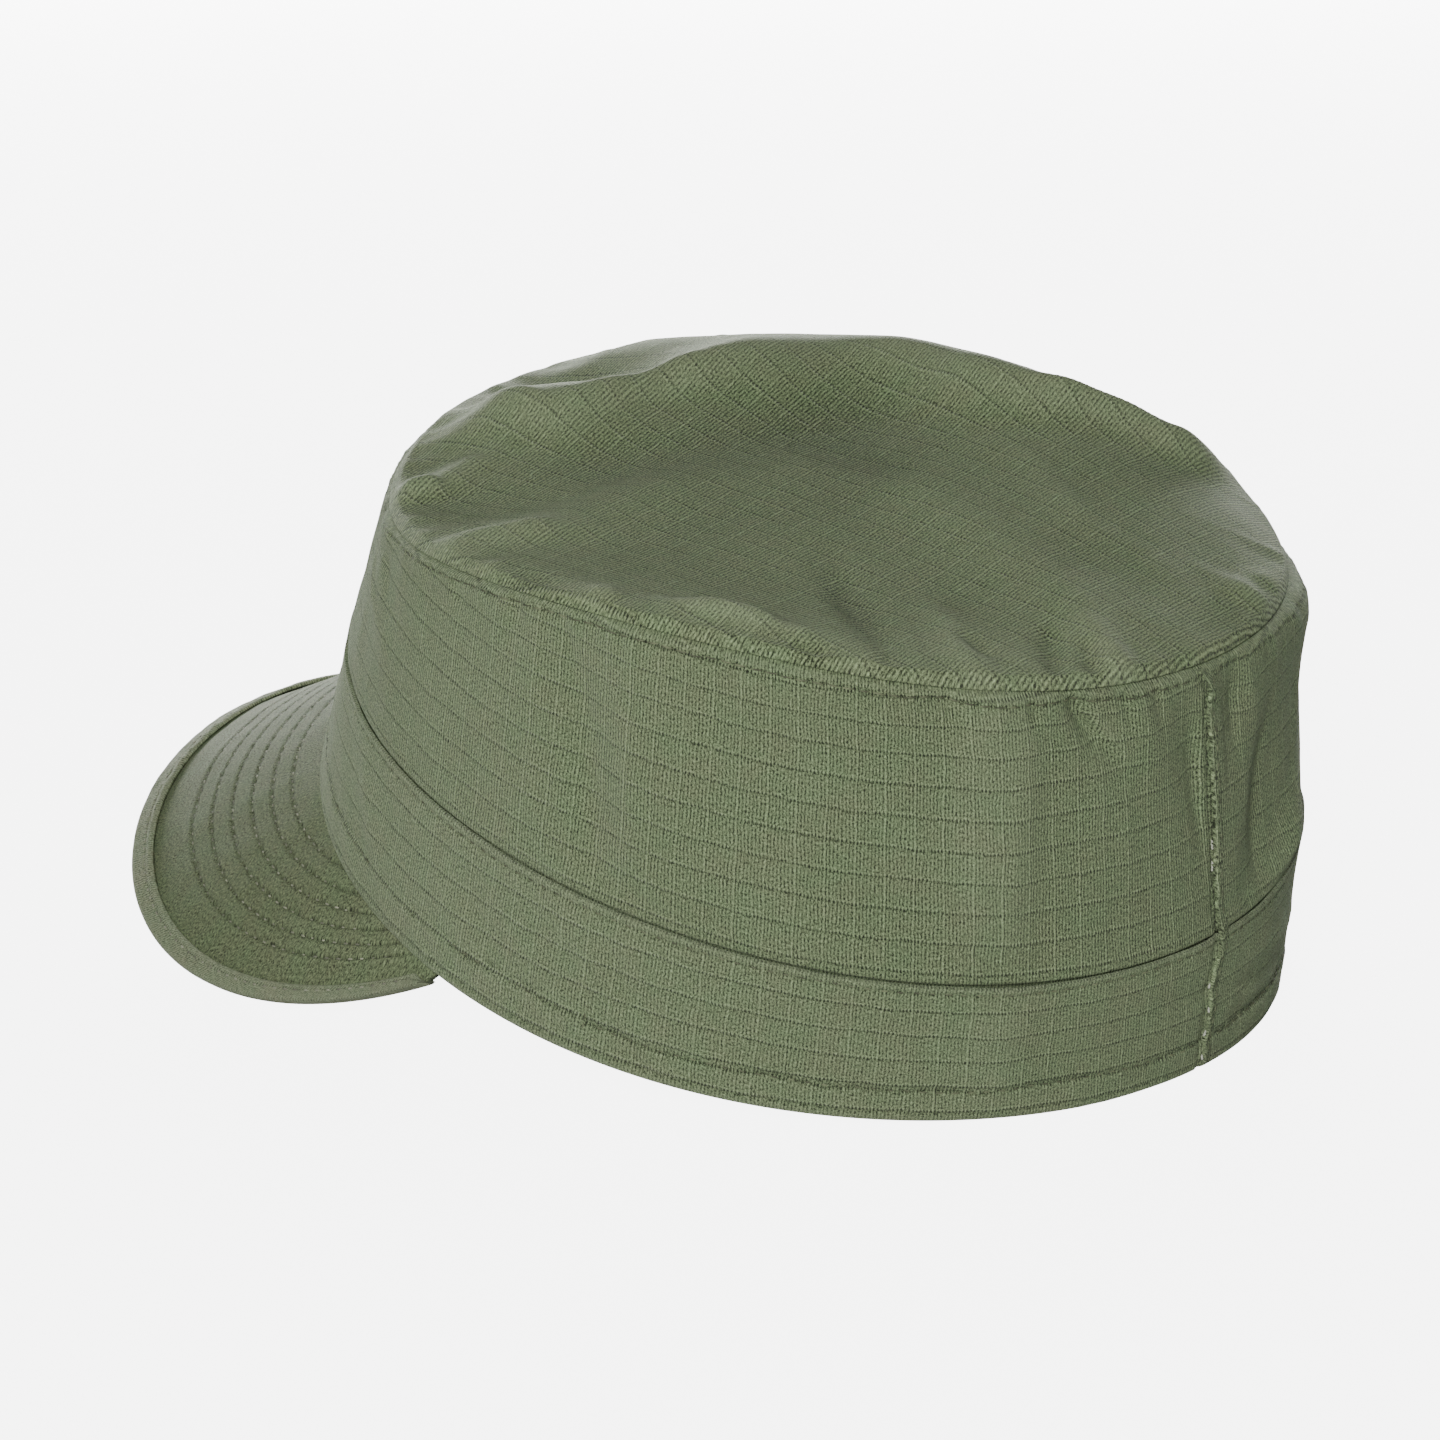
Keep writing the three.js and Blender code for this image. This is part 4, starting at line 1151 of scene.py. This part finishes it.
def addAreaLight(name, azimuth, elevation, distance, width, height, power):
    data = bpy.data.lights.new(name, "AREA")
    data.shape = "RECTANGLE"
    data.size = width
    data.size_y = height
    data.energy = power
    addAimed(name, data, azimuth, elevation, distance)


def seenStrength(tree, lit, seen):
    # a surface that looks paler than it lights
    path = tree.nodes.new("ShaderNodeLightPath")
    return timesPlus(tree, path.outputs["Is Camera Ray"], seen - lit, lit)


def addRoom():
    bpy.ops.object.select_all(action="DESELECT")
    bpy.ops.mesh.primitive_plane_add(size=room["floorSize"], location=(0, 0, 0))
    floor = bpy.context.active_object
    floor.name = "floor"
    material, tree, shader = newMaterial("floor")
    shade = room["floorShade"]
    glow = seenStrength(tree, room["floorGlow"], room["floorSeen"])
    feed(tree, shader, {
        "Base Color": (shade, shade, shade, 1.0), "Roughness": 0.9, "Specular IOR Level": 0.1,
        "Emission Color": white, "Emission Strength": glow,
    })
    floor.data.materials.append(material)
    world = bpy.data.worlds.new("studio")
    world.use_nodes = True
    tree = world.node_tree
    strength = seenStrength(tree, room["skyStrength"], room["skySeen"])
    feed(tree, tree.nodes["Background"], {0: white, 1: strength})
    bpy.context.scene.world = world
    for name, settings in room["lights"].items():
        addAreaLight(name, *settings)


addCamera()
ripstopGroup = makeRipstopGroup()
fadeAndLightGroup = makeFadeAndLightGroup()
finishes = {
    "top_cloth": clothMaterial("top ripstop", "top_cloth"),
    "side_cloth": clothMaterial("crown ripstop", "crown_cloth"),
    "band_cloth": clothMaterial("band ripstop", "band_cloth"),
    "back_seam_cloth": clothMaterial("seam ripstop", "band_cloth"),
    "peak_cloth": clothMaterial("peak cloth", "peak_cloth"),
    "binding_cloth": clothMaterial("binding strip", "binding_cloth"),
}
dullThread = threadMaterial("sewing thread", threads["dull"], 0.35)
paleThread = threadMaterial("pale thread", threads["pale"], 0.4)
whiteThread = threadMaterial("white thread", threads["white"], 0.8)
print("materials made")

pieces = [
    (makeTopCloth(), ["crown_top"], "crown_cloth"),
    (makeSideCloth(), ["crown_side"], "crown_cloth"),
    (makeBandCloth(), ["band"], "band_cloth"),
    (makeBackSeam(), ["back_seam"], "band_cloth"),
    (makePeakCloth(), ["peak"], "peak_cloth"),
    (makeBindingCloth(), ["peak_binding"], "binding_cloth"),
]
for piece, nodes, slot in pieces:
    piece.data.materials.append(finishes[piece.name])
    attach(piece, "root")
    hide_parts(*nodes)
    print(piece.name, len(piece.data.polygons), "faces")

for piece, slot, material in (
    (makeCrownStitches(), "crown_cloth", dullThread), (makeBandStitches(), "band_cloth", dullThread),
    (makePeakStitches(), "peak_cloth", paleThread), (makeSeamStitches(), "band_cloth", dullThread),
    (makeSeamKnots(), "band_cloth", whiteThread),
):
    piece.data.materials.append(material)
    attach(piece, "root")
    print(piece.name, len(piece.data.polygons), "faces")

addRoom()
print("room made")
